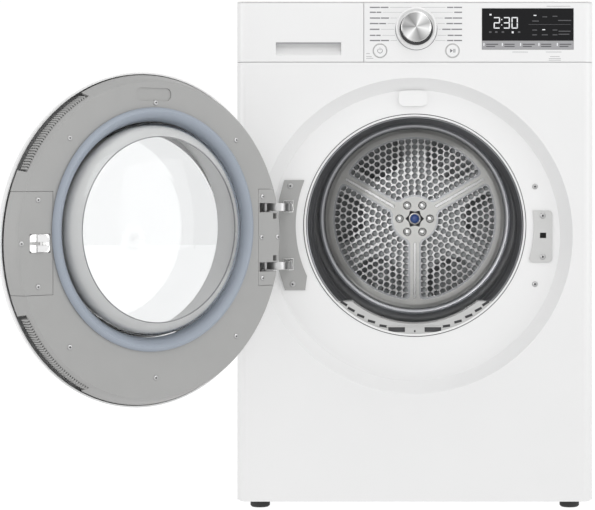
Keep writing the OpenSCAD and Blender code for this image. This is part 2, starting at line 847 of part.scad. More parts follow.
// A hinge pocket and its way out over the rim
module hinge_pocket(s, half_h, n0) {
  block([-265, n0, door_z + s * hinge_pitch / 2 - half_h],
        [-207, ring_face_n + 1, door_z + s * hinge_pitch / 2 + half_h]);
}

module door_inner_ring() {
  t = 3;
  collar_r = 181;
  color("darkgray") door_place() difference() {
    union() {
      difference() {
        turned(0, door_z, [
          [ring_r, ring_back_n], [ring_face_r + 1.5, ring_face_n - 4], [ring_face_r - 2, ring_face_n],
          [0, ring_face_n], [0, ring_face_n - t], [ring_face_r - 4, ring_face_n - t],
          [ring_r - t, ring_back_n]
        ]);
        rod_y(0, glass_z, collar_r, 0, 50, 128);
      }
      turned(0, glass_z, [[collar_r - 2.5, 8], [collar_r, 8], [collar_r, ring_face_n], [collar_r - 2.5, ring_face_n]]);
    }
    // seats of the hinge cover and the latch cover
    block([-275, -20, door_z - 79], [-204, 50, door_z + 79]);
    block([187.5, -20, door_z - 78], [275, 50, door_z + 78]);
    // pocket that fits over the pad in the recess
    front_slab(ring_face_n - 2, ring_face_n + 1) round_rect(-30, 676, 36, 696, 9);
    // finger grips beside the latch
    for (a = [25, -62])
      intersection() {
        turned(0, door_z, [[ring_face_r + 1, ring_back_n - 1], [ring_r + 2, ring_back_n - 1],
                           [ring_r + 2, ring_face_n - 7], [ring_face_r + 1, ring_face_n - 7]]);
        along_y(0, door_z) linear_extrude(60) polygon([
          [0, 0], [300 * cos(a), -300 * sin(a)], [300 * cos(a + 18.5), -300 * sin(a + 18.5)],
          [300 * cos(a + 37), -300 * sin(a + 37)]
        ]);
      }
    for (a = [45, 135, 225, 315])
      rod_y(223.8 * cos(a), door_z + 223.8 * sin(a), 1.8, 30, 45, 24);
    for (s = [-1, 1])
      rod_y(0, door_z + s * 215, 1.8, 30, 45, 24);
  }
}

module hinge_cover() {
  color("darkgray") door_place() difference() {
    union() {
      intersection() {
        turned(0, door_z, [
          [ring_r, ring_back_n], [ring_face_r + 1.5, ring_face_n - 4], [ring_face_r - 2, ring_face_n],
          [204.5, ring_face_n], [204.5, -5], [ring_r - 20, -5], [ring_r - 14, 4], [ring_r - 3, ring_back_n]
        ]);
        block([-275, -20, door_z - 78.5], [-204.5, 50, door_z + 78.5]);
      }
    }
    for (s = [-1, 1]) {
      hinge_pocket(s, 7.5, -19);
      rod_z(-hinge_x, 0, pin_r, door_z + s * hinge_pitch / 2 - 20, door_z + s * hinge_pitch / 2 + 20);
      block([-242, 20, door_z + s * 34.5 - 4.5], [-235, 50, door_z + s * 34.5 + 4.5]);
    }
    // lightening pocket between the arms
    block([-230, -19, door_z - 36], [-209, ring_face_n - 3, door_z + 36]);
  }
}

module hinge_pins() {
  color("dimgray") door_place() for (s = [-1, 1])
    rod_z(-hinge_x, 0, pin_r, door_z + s * hinge_pitch / 2 - 16, door_z + s * hinge_pitch / 2 + 16);
}

module latch_cover() {
  color("darkgray") door_place() difference() {
    intersection() {
      turned(0, door_z, [
        [ring_r, ring_back_n], [ring_face_r + 1.5, ring_face_n - 4], [ring_face_r - 2, ring_face_n],
        [150, ring_face_n], [150, ring_face_n - 3], [ring_face_r - 4, ring_face_n - 3],
        [ring_r - 3, ring_back_n]
      ]);
      block([188, 0, door_z - 77.5], [275, 50, door_z + 77.5]);
    }
    block([192, 30, door_z - 14], [228, 50, door_z + 14]);
  }
}

module door_hook() {
  color("silver") door_place() {
    front_slab(ring_face_n - 3, ring_face_n - 1) round_rect(192.3, door_z - 13.7, 227.7, door_z + 13.7, 5);
    translate([0, 0, door_z - 2.5]) linear_extrude(5)
      polygon([[205, ring_face_n - 1.5], [219, ring_face_n - 1.5], [219, 52], [217, 54],
               [217, 58], [219, 59], [216, 64], [211.5, 64], [211.5, 50]]);
  }
}

module door_glass() {
  color([0.85, 0.9, 0.95, 0.3]) door_place() turned(0, glass_z, [
    [178, 20], [178, 24], [169, 24], [165.5, 39], [161, 46.5], [144, 57.2], [110, 64.8],
    [68, 69.9], [0, 72], [0, 68], [67.6, 65.9], [108.8, 61], [142, 53.5], [158, 44.2],
    [161.8, 38.4], [163.8, 20]
  ]);
}

module door_seal() {
  color("lightsteelblue") door_place() turned(0, glass_z, [
    [178.3, 30], [178.3, 38.2], [seal_r, 38.2], [seal_r, 42], [187, 47], [183, 47.5], [176, 43],
    [171, 36], [168.5, 30]
  ]);
}

module door_screws() {
  ring_spots = concat(
    [for (a = [45, 135, 225, 315]) [223.8 * cos(a), 223.8 * sin(a)]],
    [[0, 215], [0, -215]]
  );
  hinge_spots = [[-212.6, 66.5], [-212.6, -66.5], [-211, 0], [-244, 0]];
  latch_spots = [[214, 65], [214, -65], [243, 0]];
  n = ring_face_n;
  color("silver") door_place() {
    for (p = concat(ring_spots, hinge_spots, latch_spots))
      turned(p[0], door_z + p[1], [[0, n], [3.6, n], [3.4, n + 1.2], [2, n + 2], [0, n + 2]], 24);
    for (p = ring_spots)
      rod_y(p[0], door_z + p[1], 1.7, 31, n + 0.1, 24);
  }
}

// ---------------------------------------------------------------- controls

module knob() {
  y0 = front_y - 0.4;
  color("silver") turned(knob_x, knob_z, [
    [0, -340], [22, -340], [24.2, -339], [knob_r - 1.5, -338], [knob_r, -336], [knob_r, y0],
    [24, y0], [24, -336], [5.9, -336], [5.9, -306], [0, -306]
  ], 96);
}

module push_button(x) {
  color("white") turned(x, button_z, [
    [0, front_y - 0.6], [button_r - 1, front_y - 0.6], [button_r, front_y + 0.2],
    [button_r, front_y + 3], [button_r + 2, front_y + 3], [button_r + 2, front_y + 5],
    [3, front_y + 5], [3, front_y + 9], [0, front_y + 9]
  ], 48);
}

module power_button() { push_button(power_x); }
module start_button() { push_button(start_x); }

// ---------------------------------------------------------------- water tank

module water_tank() {
  x0 = -half_w;
  x1 = seam_x - seam_gap / 2;
  z0 = panel_split_z + seam_gap / 2;
  color("white") difference() {
    union() {
      wrap_shell(x0, x1, z0, top_edge_z, corner_r, 0);
      block([scoop_x0 - 4, front_y + 1, scoop_z - 26], [scoop_x1 + 4, floor_y, scoop_z + 4]);
      block([tank_x0 + 2, front_y + 4, tank_z0], [tank_x1 - 2, floor_y + 6, tank_z0 + 4]);
      open_box([tank_x0, floor_y + 0.2, tank_z0], [tank_x1, 190, tank_z1], 2.5, 0);
    }
    // pull under the drawer's lip
    translate([scoop_x0, 0, 0]) rotate([90, 0, 90]) linear_extrude(scoop_x1 - scoop_x0)
      polygon([[front_y - 1, scoop_z], [front_y + 13, scoop_z], [front_y + 12, scoop_z - 8],
               [front_y + 6, scoop_z - 16], [front_y - 1, scoop_z - 23]]);
    rod_z(-190, 150, 20, 800, 840);
  }
}

// ---------------------------------------------------------------- feet

module foot(x, y) {
  color("#202022") translate([x, y, 0]) rotate_extrude($fn = 48) polygon([
    [0, 0], [14, 0], [16.5, 2.5], [16.5, foot_gap - 0.4], [stud_r, foot_gap - 0.4],
    [stud_r, 52], [0, 52]
  ]);
}

module foot_front_left() { foot(-foot_x, -foot_y); }
module foot_front_right() { foot(foot_x, -foot_y); }
module foot_back_left() { foot(-foot_x, foot_y); }
module foot_back_right() { foot(foot_x, foot_y); }

side_panel_left();
side_panel_right();
top_plate();
front_panel();
control_panel();
back_panel();
rear_duct_cover();
base_tray();
front_bulkhead();
rear_bulkhead();
opening_trim_ring();
filter_housing();
lint_filter_outer();
lint_filter_inner();
drum_shell();
drum_back_plate();
drum_lifters();
drum_shaft();
hub_screws();
rear_bearing();
front_felt_seal();
drum_roller_left();
drum_roller_right();
drive_belt();
idler_arm();
idler_pulley();
idler_spring();
motor();
motor_shaft();
fan_impeller();
compressor();
heat_exchangers();
refrigerant_pipes();
condensate_pump();
rear_fittings();
hinge_plate();
hinge_arms();
hinge_pins();
catch_plate();
door_lock();
latch_bolt();
front_screws();
door_outer_cover();
door_window();
door_inner_ring();
door_glass();
door_seal();
latch_cover();
door_hook();
hinge_cover();
door_screws();
knob();
power_button();
start_button();
display_panel();
water_tank();
foot_front_left();
foot_front_right();
foot_back_left();
foot_back_right();
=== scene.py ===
"""Front-loading clothes dryer with its round door standing open: visible pieces and finishes."""

import json
import math

import bpy
from mathutils import Matrix, Vector


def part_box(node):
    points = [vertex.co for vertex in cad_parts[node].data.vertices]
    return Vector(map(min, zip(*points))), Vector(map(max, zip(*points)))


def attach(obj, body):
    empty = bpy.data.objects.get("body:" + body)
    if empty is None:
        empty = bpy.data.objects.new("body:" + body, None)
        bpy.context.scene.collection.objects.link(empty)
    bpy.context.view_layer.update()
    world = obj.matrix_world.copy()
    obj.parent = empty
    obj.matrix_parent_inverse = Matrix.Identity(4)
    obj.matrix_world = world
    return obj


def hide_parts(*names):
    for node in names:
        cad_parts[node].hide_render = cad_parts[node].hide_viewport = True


bl_info = {
    "name": "Clothes dryer",
    "version": (1, 0, 0),
    "blender": (4, 5, 0),
    "location": "3D View > Sidebar > Dryer",
    "description": "Builds the visible pieces of a front-loading clothes dryer around its frame",
    "category": "Object",
}

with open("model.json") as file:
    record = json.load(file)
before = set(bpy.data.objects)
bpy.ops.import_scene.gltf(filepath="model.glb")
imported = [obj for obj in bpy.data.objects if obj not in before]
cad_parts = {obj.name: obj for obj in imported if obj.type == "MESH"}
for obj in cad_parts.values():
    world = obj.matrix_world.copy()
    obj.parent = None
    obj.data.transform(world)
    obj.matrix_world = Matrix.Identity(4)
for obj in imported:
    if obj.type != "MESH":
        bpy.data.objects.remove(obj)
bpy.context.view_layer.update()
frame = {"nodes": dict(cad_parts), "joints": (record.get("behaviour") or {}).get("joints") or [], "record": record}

# Places taken from the frame, in metres
BODY_LOW, BODY_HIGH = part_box("front_panel")
FRONT_Y = BODY_LOW.y
FLOOR_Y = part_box("hinge_plate")[1].y
TOP_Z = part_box("top_plate")[1].z
DRUM_LOW, DRUM_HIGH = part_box("drum_shell")
DRUM_Z = (DRUM_LOW.z + DRUM_HIGH.z) / 2
DRUM_BACK_Y = DRUM_HIGH.y
KNOB_LOW, KNOB_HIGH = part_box("knob")
KNOB = Vector(((KNOB_LOW.x + KNOB_HIGH.x) / 2, KNOB_LOW.y, (KNOB_LOW.z + KNOB_HIGH.z) / 2))
DISPLAY_LOW, DISPLAY_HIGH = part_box("display_panel")
JOINTS = {j["name"]: j for j in frame["joints"]}
HINGE = Vector(JOINTS["door_swing"]["pos_m"])
DOOR_Z = HINGE.z
SWING = JOINTS["door_swing"]
SWING_LOW = SWING["range_deg"][0] if "range_deg" in SWING else math.degrees(SWING["range_rad"][0])
# turns a piece drawn on the closed door to where it stands open
DOOR_TURN = (Matrix.Translation((HINGE.x, HINGE.y, 0))
             @ Matrix.Rotation(math.radians(SWING_LOW), 4, "Z")
             @ Matrix.Translation((-HINGE.x, -HINGE.y, 0)))
MM = 0.001
RING_FACE = 0.038      # door ring's face behind the hinge pins, on the closed door
RING_BACK = 0.014


# ------------------------------------------------------------------ settings

FINISH_COLOURS = {
    "white_steel": (0.80, 0.80, 0.80),
    "white_plastic": (0.80, 0.80, 0.80),
    "grey_plastic": (0.36, 0.36, 0.355),
    "light_grey_plastic": (0.50, 0.50, 0.495),
    "dark_plastic": (0.045, 0.045, 0.048),
    "black_glass": (0.008, 0.008, 0.009),
    "stainless": (0.50, 0.50, 0.50),
    # painted shade: a darker copy of stainless for surfaces that face into the dark drum
    "dark_steel": (0.38, 0.385, 0.40),
    "bright_steel": (0.66, 0.66, 0.655),
    "screw_steel": (0.42, 0.42, 0.42),
    "arm_steel": (0.52, 0.52, 0.52),
    "web_steel": (0.56, 0.56, 0.545),
    "catch_grey": (0.56, 0.56, 0.555),
    "zinc_sheet": (0.42, 0.43, 0.44),
    "clear_glass": (0.86, 0.865, 0.865),
    "clear_plastic": (0.97, 0.975, 0.98),
    "seal_rubber": (0.33, 0.37, 0.43),
    "black_rubber": (0.018, 0.018, 0.018),
    "felt": (0.20, 0.20, 0.19),
    "black_paint": (0.016, 0.016, 0.018),
    "copper": (0.70, 0.34, 0.20),
    "aluminium": (0.62, 0.63, 0.65),
    "touch_strip": (0.33, 0.33, 0.34),
    "white_print": (0.85, 0.86, 0.88),
    "grey_print": (0.20, 0.20, 0.21),
    "dim_print": (0.07, 0.07, 0.075),
    "blue_cap": (0.10, 0.22, 0.75),
    "stage": (0.01, 0.01, 0.01),
}


def colour_property(key, value):
    return bpy.props.FloatVectorProperty(
        name=key.replace("_", " ").capitalize(), description="Base colour of " + key.replace("_", " "),
        size=3, subtype="COLOR", min=0, max=1, default=value)


def length_property(name, description, value):
    return bpy.props.FloatProperty(
        name=name, description=description, default=value, min=0, unit="LENGTH", precision=4)


DryerColours = type("DryerColours", (bpy.types.PropertyGroup,), {
    "__doc__": "Base colours of the finishes",
    "__annotations__": {k: colour_property(k, v) for k, v in FINISH_COLOURS.items()},
})


class DryerSizes(bpy.types.PropertyGroup):
    """Sizes of the visible details"""

    edge: length_property("Edge round", "Rounding of the moulded outer edges", 0.0016)
    fine_edge: length_property("Fine edge", "Rounding of small metal and plastic parts", 0.0006)
    hole_r: length_property("Hole radius", "Radius of a hole in the drum's back", 0.0048)
    hole_pitch: length_property("Hole pitch", "Distance between the drum's holes", 0.0125)
    rib_pitch: length_property("Rib pitch", "Distance between the ribs of the finger grips", 0.0046)
    print_t: length_property("Print height", "Thickness of printed marks", 0.00015)
    stage_r: length_property("Floor", "Half the width of the floor", 12.0)


def sizes():
    return bpy.context.scene.dryer_sizes


def colours():
    return bpy.context.scene.dryer_colours


# ------------------------------------------------------------------ modelling

def clear():
    if bpy.context.mode != "OBJECT":
        bpy.ops.object.mode_set(mode="OBJECT")
    bpy.ops.object.select_all(action="DESELECT")


def pick(o):
    clear()
    o.select_set(True)
    bpy.context.view_layer.objects.active = o
    return o


def edit(o):
    pick(o)
    bpy.ops.object.mode_set(mode="EDIT")
    bpy.ops.mesh.select_all(action="SELECT")
    return o


def done(o, angle=30):
    """Leaves edit mode and shades the piece, smooth where it turns by less than the angle."""
    pick(o)
    bpy.ops.object.shade_smooth_by_angle(angle=math.radians(angle))
    return o


def named(name):
    o = bpy.context.object
    o.name = o.data.name = name
    bpy.ops.object.transform_apply(location=True, rotation=True, scale=True)
    return o


def apply_all(o):
    pick(o)
    for m in list(o.modifiers):
        bpy.ops.object.modifier_apply(modifier=m.name)
    return o


def bevelled(o, width, segments=2, angle=35):
    m = o.modifiers.new("round", "BEVEL")
    m.width, m.segments, m.limit_method, m.angle_limit = width, segments, "ANGLE", math.radians(angle)
    m.harden_normals = False
    m.use_clamp_overlap = True
    apply_all(o)
    done(o, 40)
    m = o.modifiers.new("even", "WEIGHTED_NORMAL")
    m.keep_sharp = True
    return apply_all(o)


def chain(name, points):
    """A row of joined vertices through the points."""
    clear()
    bpy.ops.mesh.primitive_plane_add(size=0.002, location=points[0])
    o = named(name)
    edit(o)
    bpy.ops.mesh.merge(type="CENTER")
    for a, b in zip(points, points[1:]):
        step = tuple(q - p for p, q in zip(a, b))
        bpy.ops.mesh.extrude_vertices_move(TRANSFORM_OT_translate={"value": step})
    bpy.ops.mesh.select_all(action="SELECT")
    return o


def turned(name, x, z, profile, steps=128, angle=30, closed=True):
    """A shape turned about an axis along Y; the profile is (radius, y) in millimetres."""
    points = [(x + r * MM, y * MM, z) for r, y in profile]
    if closed and not (profile[0][0] == 0 and profile[-1][0] == 0):
        points.append(points[0])
    o = chain(name, points)
    bpy.ops.mesh.spin(steps=steps, angle=2 * math.pi, center=(x, 0, z), axis=(0, 1, 0))
    bpy.ops.mesh.select_all(action="SELECT")
    bpy.ops.mesh.remove_doubles(threshold=2e-6)
    bpy.ops.mesh.normals_make_consistent(inside=False)
    return done(o, angle)


def slab(name, outline, y0, y1, round_r=0, edge=0):
    """An outline of (x, z) points in millimetres, with a thickness along Y."""
    points = [(x * MM, y0 * MM, z * MM) for x, z in outline]
    o = chain(name, points + points[:1])
    bpy.ops.mesh.remove_doubles(threshold=2e-6)
    bpy.ops.mesh.select_all(action="SELECT")
    bpy.ops.mesh.edge_face_add()
    if round_r:
        bpy.ops.mesh.bevel(affect="VERTICES", offset=round_r * MM, segments=6)
        bpy.ops.mesh.select_all(action="SELECT")
    bpy.ops.mesh.extrude_region_move(TRANSFORM_OT_translate={"value": (0, (y1 - y0) * MM, 0)})
    bpy.ops.mesh.select_all(action="SELECT")
    bpy.ops.mesh.normals_make_consistent(inside=False)
    done(o)
    return bevelled(o, edge * MM, 2) if edge else o


def block(name, low, high, edge=0):
    """A box between two corners in millimetres, with rounded edges."""
    clear()
    mid = [(a + b) / 2 * MM for a, b in zip(low, high)]
    bpy.ops.mesh.primitive_cube_add(size=1, location=mid)
    bpy.context.object.scale = [(b - a) * MM for a, b in zip(low, high)]
    o = named(name)
    return bevelled(o, edge * MM, 2, 30) if edge else done(o)


def box_outline(x0, z0, x1, z1):
    return [(x0, z0), (x1, z0), (x1, z1), (x0, z1)]


def joined(name, parts):
    clear()
    for p in parts:
        p.select_set(True)
    bpy.context.view_layer.objects.active = parts[0]
    bpy.ops.object.join()
    o = bpy.context.object
    o.name = o.data.name = name
    return o


def copies(o, places):
    """The piece repeated: each place is a matrix applied to a mesh of its own."""
    parts = []
    for m in places:
        c = bpy.data.objects.new(o.name, o.data.copy())
        c.data.transform(m)
        bpy.context.scene.collection.objects.link(c)
        parts.append(c)
    name = o.name
    bpy.data.objects.remove(o)
    return joined(name, parts)


def cut(o, cutter):
    m = o.modifiers.new("cut", "BOOLEAN")
    m.operation, m.object, m.solver = "DIFFERENCE", cutter, "MANIFOLD"
    apply_all(o)
    bpy.data.objects.remove(cutter)
    return o


def softened(node, name, width, segments=2, angle=38, look=None):
    """A piece that takes the place of a CAD node: the same shape with its edges rounded."""
    mesh = frame["nodes"][node].data.copy()
    o = bpy.data.objects.new(name, mesh)
    mesh.name = name
    bpy.context.scene.collection.objects.link(o)
    edit(o)
    bpy.ops.mesh.remove_doubles(threshold=5e-6)
    bpy.ops.mesh.select_all(action="SELECT")
    bpy.ops.mesh.dissolve_limited(angle_limit=math.radians(0.6))
    bpy.ops.object.mode_set(mode="OBJECT")
    bpy.ops.mesh.customdata_custom_splitnormals_clear()
    bevelled(o, width, segments, angle)
    dress(o, look or SLOTS[node])
    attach(o, BODY_OF[node])
    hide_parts(node)
    return o


def open_door(o):
    """Takes a piece drawn on the closed door to the open one."""
    o.data.transform(DOOR_TURN)
    return o


def finished(o, body, slot, look=None, replaces=()):
    dress(o, look or slot)
    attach(o, body)
    if replaces:
        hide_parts(*replaces)
    return o


SLOTS = {s["node"]: s["material_slot"] for s in frame["record"]["subparts"]}
BODY_OF = {n: b for b, ns in frame["record"]["behaviour"]["bodies"].items() for n in ns}


# ------------------------------------------------------------------ finishes

# roughness, metal, grain per metre, bump, colour change, stretch of the grain, coat
LOOKS = {
    "white_steel": (0.34, 0, 900, 0.04, 0.015, (1, 1, 1), 0.25),
    "white_plastic": (0.30, 0, 700, 0.03, 0.015, (1, 1, 1), 0.15),
    "grey_plastic": (0.48, 0, 1400, 0.10, 0.05, (1, 1, 1), 0),
    "light_grey_plastic": (0.42, 0, 1200, 0.06, 0.04, (1, 1, 1), 0),
    "dark_plastic": (0.45, 0, 1200, 0.10, 0.10, (1, 1, 1), 0),
    "black_glass": (0.26, 0, 300, 0.005, 0.10, (1, 1, 1), 0),
    "stainless": (0.26, 1, 500, 0.05, 0.10, (1, 8, 1), 0),
    # painted shade: the darker copy of stainless
    "dark_steel": (0.33, 1, 500, 0.04, 0.12, (1, 8, 1), 0),
    "arm_steel": (0.36, 1, 700, 0.03, 0.06, (1, 1, 4), 0),
    "web_steel": (0.42, 1, 700, 0.03, 0.10, (1, 1, 4), 0),
    "screw_steel": (0.30, 1, 700, 0.03, 0.06, (1, 1, 4), 0),
    "catch_grey": (0.44, 0, 1200, 0.06, 0.04, (1, 1, 1), 0),
    "bright_steel": (0.26, 1, 700, 0.03, 0.06, (1, 1, 4), 0),
    "zinc_sheet": (0.42, 1, 60, 0.02, 0.16, (1, 1, 1), 0),
    "seal_rubber": (0.46, 0, 900, 0.06, 0.05, (1, 1, 1), 0),
    "black_rubber": (0.62, 0, 1100, 0.14, 0.16, (1, 1, 1), 0),
    "felt": (0.95, 0, 1800, 0.55, 0.25, (1, 1, 1), 0),
    "black_paint": (0.36, 0, 800, 0.06, 0.15, (1, 1, 1), 0.2),
    "copper": (0.30, 1, 90, 0.03, 0.14, (1, 1, 1), 0),
    "aluminium": (0.33, 1, 400, 0.05, 0.08, (1, 1, 6), 0),
    "touch_strip": (0.36, 0, 900, 0.03, 0.04, (1, 1, 1), 0.2),
    "white_print": (0.45, 0, 900, 0.02, 0.03, (1, 1, 1), 0),
    "dim_print": (0.50, 0, 900, 0.02, 0.06, (1, 1, 1), 0),
    "grey_print": (0.50, 0, 900, 0.02, 0.06, (1, 1, 1), 0),
    "blue_cap": (0.30, 0, 700, 0.03, 0.06, (1, 1, 1), 0.2),
    "stage": (0.80, 0, 6, 0.01, 0.008, (1, 1, 1), 0),
}
GLASS = {"clear_glass": 1.22, "clear_plastic": 1.45}
MADE = {}


def node(tree, kind, **inputs):
    n = tree.nodes.new(kind)
    for key, value in inputs.items():
        n.inputs[key.replace("_", " ")].default_value = value
    return n


def tones(tree, factor, colour, change):
    """A mix between a darker and a lighter tone of the colour."""
    mix = tree.nodes.new("ShaderNodeMix")
    mix.data_type = "RGBA"
    dark = [max(0, c * (1 - change)) for c in colour] + [1]
    light = [min(1, c * (1 + change)) for c in colour] + [1]
    mix.inputs[6].default_value, mix.inputs[7].default_value = dark, light
    tree.links.new(factor, mix.inputs[0])
    return mix.outputs[2]


def finish(key):
    """The material of a finish: grain, tone and roughness all vary over the object."""
    if key in MADE:
        return MADE[key]
    colour = tuple(getattr(colours(), key))
    m = bpy.data.materials.new(key)
    m.use_nodes = True
    tree = m.node_tree
    link = tree.links.new
    shader = tree.nodes["Principled BSDF"]
    coord = tree.nodes.new("ShaderNodeTexCoord")
    if key in GLASS:
        broad = node(tree, "ShaderNodeTexNoise", Scale=14.0, Detail=2.0)
        link(coord.outputs["Object"], broad.inputs["Vector"])
        link(tones(tree, broad.outputs["Fac"], colour, 0.008), shader.inputs["Base Color"])
        rough_range = node(tree, "ShaderNodeMapRange", To_Min=0.0, To_Max=0.03)
        link(broad.outputs["Fac"], rough_range.inputs["Value"])
        link(rough_range.outputs["Result"], shader.inputs["Roughness"])
        shader.inputs["Transmission Weight"].default_value = 1.0
        shader.inputs["IOR"].default_value = GLASS[key]
        MADE[key] = m
        return m
    rough, metal, grain, bump, change, stretch, coat = LOOKS[key]
    place = node(tree, "ShaderNodeMapping", Scale=stretch)
    link(coord.outputs["Object"], place.inputs["Vector"])
    fine = node(tree, "ShaderNodeTexNoise", Scale=float(grain), Detail=3.0)
    broad = node(tree, "ShaderNodeTexNoise", Scale=max(3.0, grain / 60), Detail=3.0)
    for n in (fine, broad):
        link(place.outputs["Vector"], n.inputs["Vector"])
    link(tones(tree, broad.outputs["Fac"], colour, change), shader.inputs["Base Color"])
    rough_range = node(tree, "ShaderNodeMapRange", To_Min=rough * 0.88, To_Max=rough * 1.12)
    link(broad.outputs["Fac"], rough_range.inputs["Value"])
    link(rough_range.outputs["Result"], shader.inputs["Roughness"])
    relief = node(tree, "ShaderNodeBump", Strength=bump, Distance=0.0004)
    link(fine.outputs["Fac"], relief.inputs["Height"])
    link(relief.outputs["Normal"], shader.inputs["Normal"])
    shader.inputs["Metallic"].default_value = metal
    if key == "black_glass":
        shader.inputs["Specular IOR Level"].default_value = 0.14
    if key == "stage":
        shader.inputs["Emission Color"].default_value = (1, 1, 1, 1)
        # white to the eye and to the glass, dimmer where it lights matt surfaces
        path = tree.nodes.new("ShaderNodeLightPath")
        level = node(tree, "ShaderNodeMapRange", To_Min=1.02, To_Max=0.92)
        link(path.outputs["Is Diffuse Ray"], level.inputs["Value"])
        link(level.outputs["Result"], shader.inputs["Emission Strength"])
    if coat:
        shader.inputs["Coat Weight"].default_value = coat
        shader.inputs["Coat Roughness"].default_value = 0.12
    MADE[key] = m
    return m


def knob_face_painted_sheen():
    """Metal brushed round a centre, so light fans out from the middle of the knob."""
    m = bpy.data.materials.new("fan_brushed_metal")
    m.use_nodes = True
    tree = m.node_tree
    link = tree.links.new
    shader = tree.nodes["Principled BSDF"]
    coord = tree.nodes.new("ShaderNodeTexCoord")
    place = node(tree, "ShaderNodeMapping", Location=tuple(-KNOB))
    link(coord.outputs["Object"], place.inputs["Vector"])
    upright = node(tree, "ShaderNodeMapping", Rotation=(math.radians(-90), 0, 0))
    link(place.outputs["Vector"], upright.inputs["Vector"])
    fan = tree.nodes.new("ShaderNodeTexGradient")
    fan.gradient_type = "RADIAL"
    link(upright.outputs["Vector"], fan.inputs["Vector"])
    # painted reflection: the ramp's bright and dark sectors are highlights painted into the base colour
    painted_sheen_ramp = tree.nodes.new("ShaderNodeValToRGB")
    link(fan.outputs["Fac"], painted_sheen_ramp.inputs["Fac"])
    tone = ((0, .30), (.07, .62), (.14, .95), (.20, .55), (.30, .30), (.40, .62), (.47, .90),
            (.55, .45), (.62, .70), (.68, .98), (.75, .45), (.85, .28), (.92, .50), (1, .30))
    painted_sheen_ramp.color_ramp.elements[0].position, painted_sheen_ramp.color_ramp.elements[1].position = 0, 1
    for i, (at, v) in enumerate(tone):
        e = (painted_sheen_ramp.color_ramp.elements[0] if i == 0 else
             painted_sheen_ramp.color_ramp.elements[-1] if i == len(tone) - 1 else painted_sheen_ramp.color_ramp.elements.new(at))
        e.color = (v, v, v, 1)
    streak = node(tree, "ShaderNodeTexNoise", Scale=260.0, Detail=2.0)
    streak.noise_dimensions = "1D"
    link(fan.outputs["Fac"], streak.inputs["W"])
    mix = tree.nodes.new("ShaderNodeMix")
    mix.data_type, mix.blend_type = "RGBA", "MULTIPLY"
    mix.inputs[0].default_value = 0.18
    link(painted_sheen_ramp.outputs["Color"], mix.inputs[6])
    link(streak.outputs["Fac"], mix.inputs[7])
    link(mix.outputs[2], shader.inputs["Base Color"])
    relief = node(tree, "ShaderNodeBump", Strength=0.12, Distance=0.0002)
    link(streak.outputs["Fac"], relief.inputs["Height"])
    link(relief.outputs["Normal"], shader.inputs["Normal"])
    shader.inputs["Metallic"].default_value = 1.0
    shader.inputs["Roughness"].default_value = 0.34
    return m


def dress(o, key):
    material = finish(key) if isinstance(key, str) else key
    if not o.data.materials:
        o.data.materials.append(material)
    for i in range(len(o.data.materials)):
        o.data.materials[i] = material
    return o


# ------------------------------------------------------------------ operators

def operator(idname, label, doc, make):
    """An operator class whose execute calls the maker."""
    def execute(self, context):
        make()
        return {"FINISHED"}
    return type("DRYER_OT_" + idname, (bpy.types.Operator,), {
        "__doc__": doc, "bl_idname": "dryer." + idname, "bl_label": label,
        "bl_options": {"REGISTER", "UNDO"}, "execute": execute})


def make_frame_finishes():
    for name, o in frame["nodes"].items():
        dress(o, SLOTS[name])


def make_cabinet():
    edge = sizes().edge
    softened("front_panel", "front_moulding", edge, 3)
    softened("top_plate", "worktop", edge, 3)
    softened("control_panel", "control_moulding", edge * 0.5)
    softened("water_tank", "tank_drawer", edge * 0.5)
    # painted shade: a dark strip under the drawer's top lip, where the pull's undercut lies in shade
    lip_shade = block("drawer_slit", (-231.4, FRONT_Y / MM + 0.9, 778.1), (-123.6, FRONT_Y / MM + 3, 780.9), 0.4)
    finished(lip_shade, "water_tank", "white_plastic", "touch_strip")
    for side in ("left", "right"):
        softened("side_panel_" + side, "side_sheet_" + side, edge * 0.3)
    for corner in ("front_left", "front_right", "back_left", "back_right"):
        softened("foot_" + corner, "levelling_foot_" + corner, sizes().fine_edge)
    softened("rear_duct_cover", "rear_cover", edge)


def box_cut(o, low, high):
    return cut(o, block("saw", low, high))


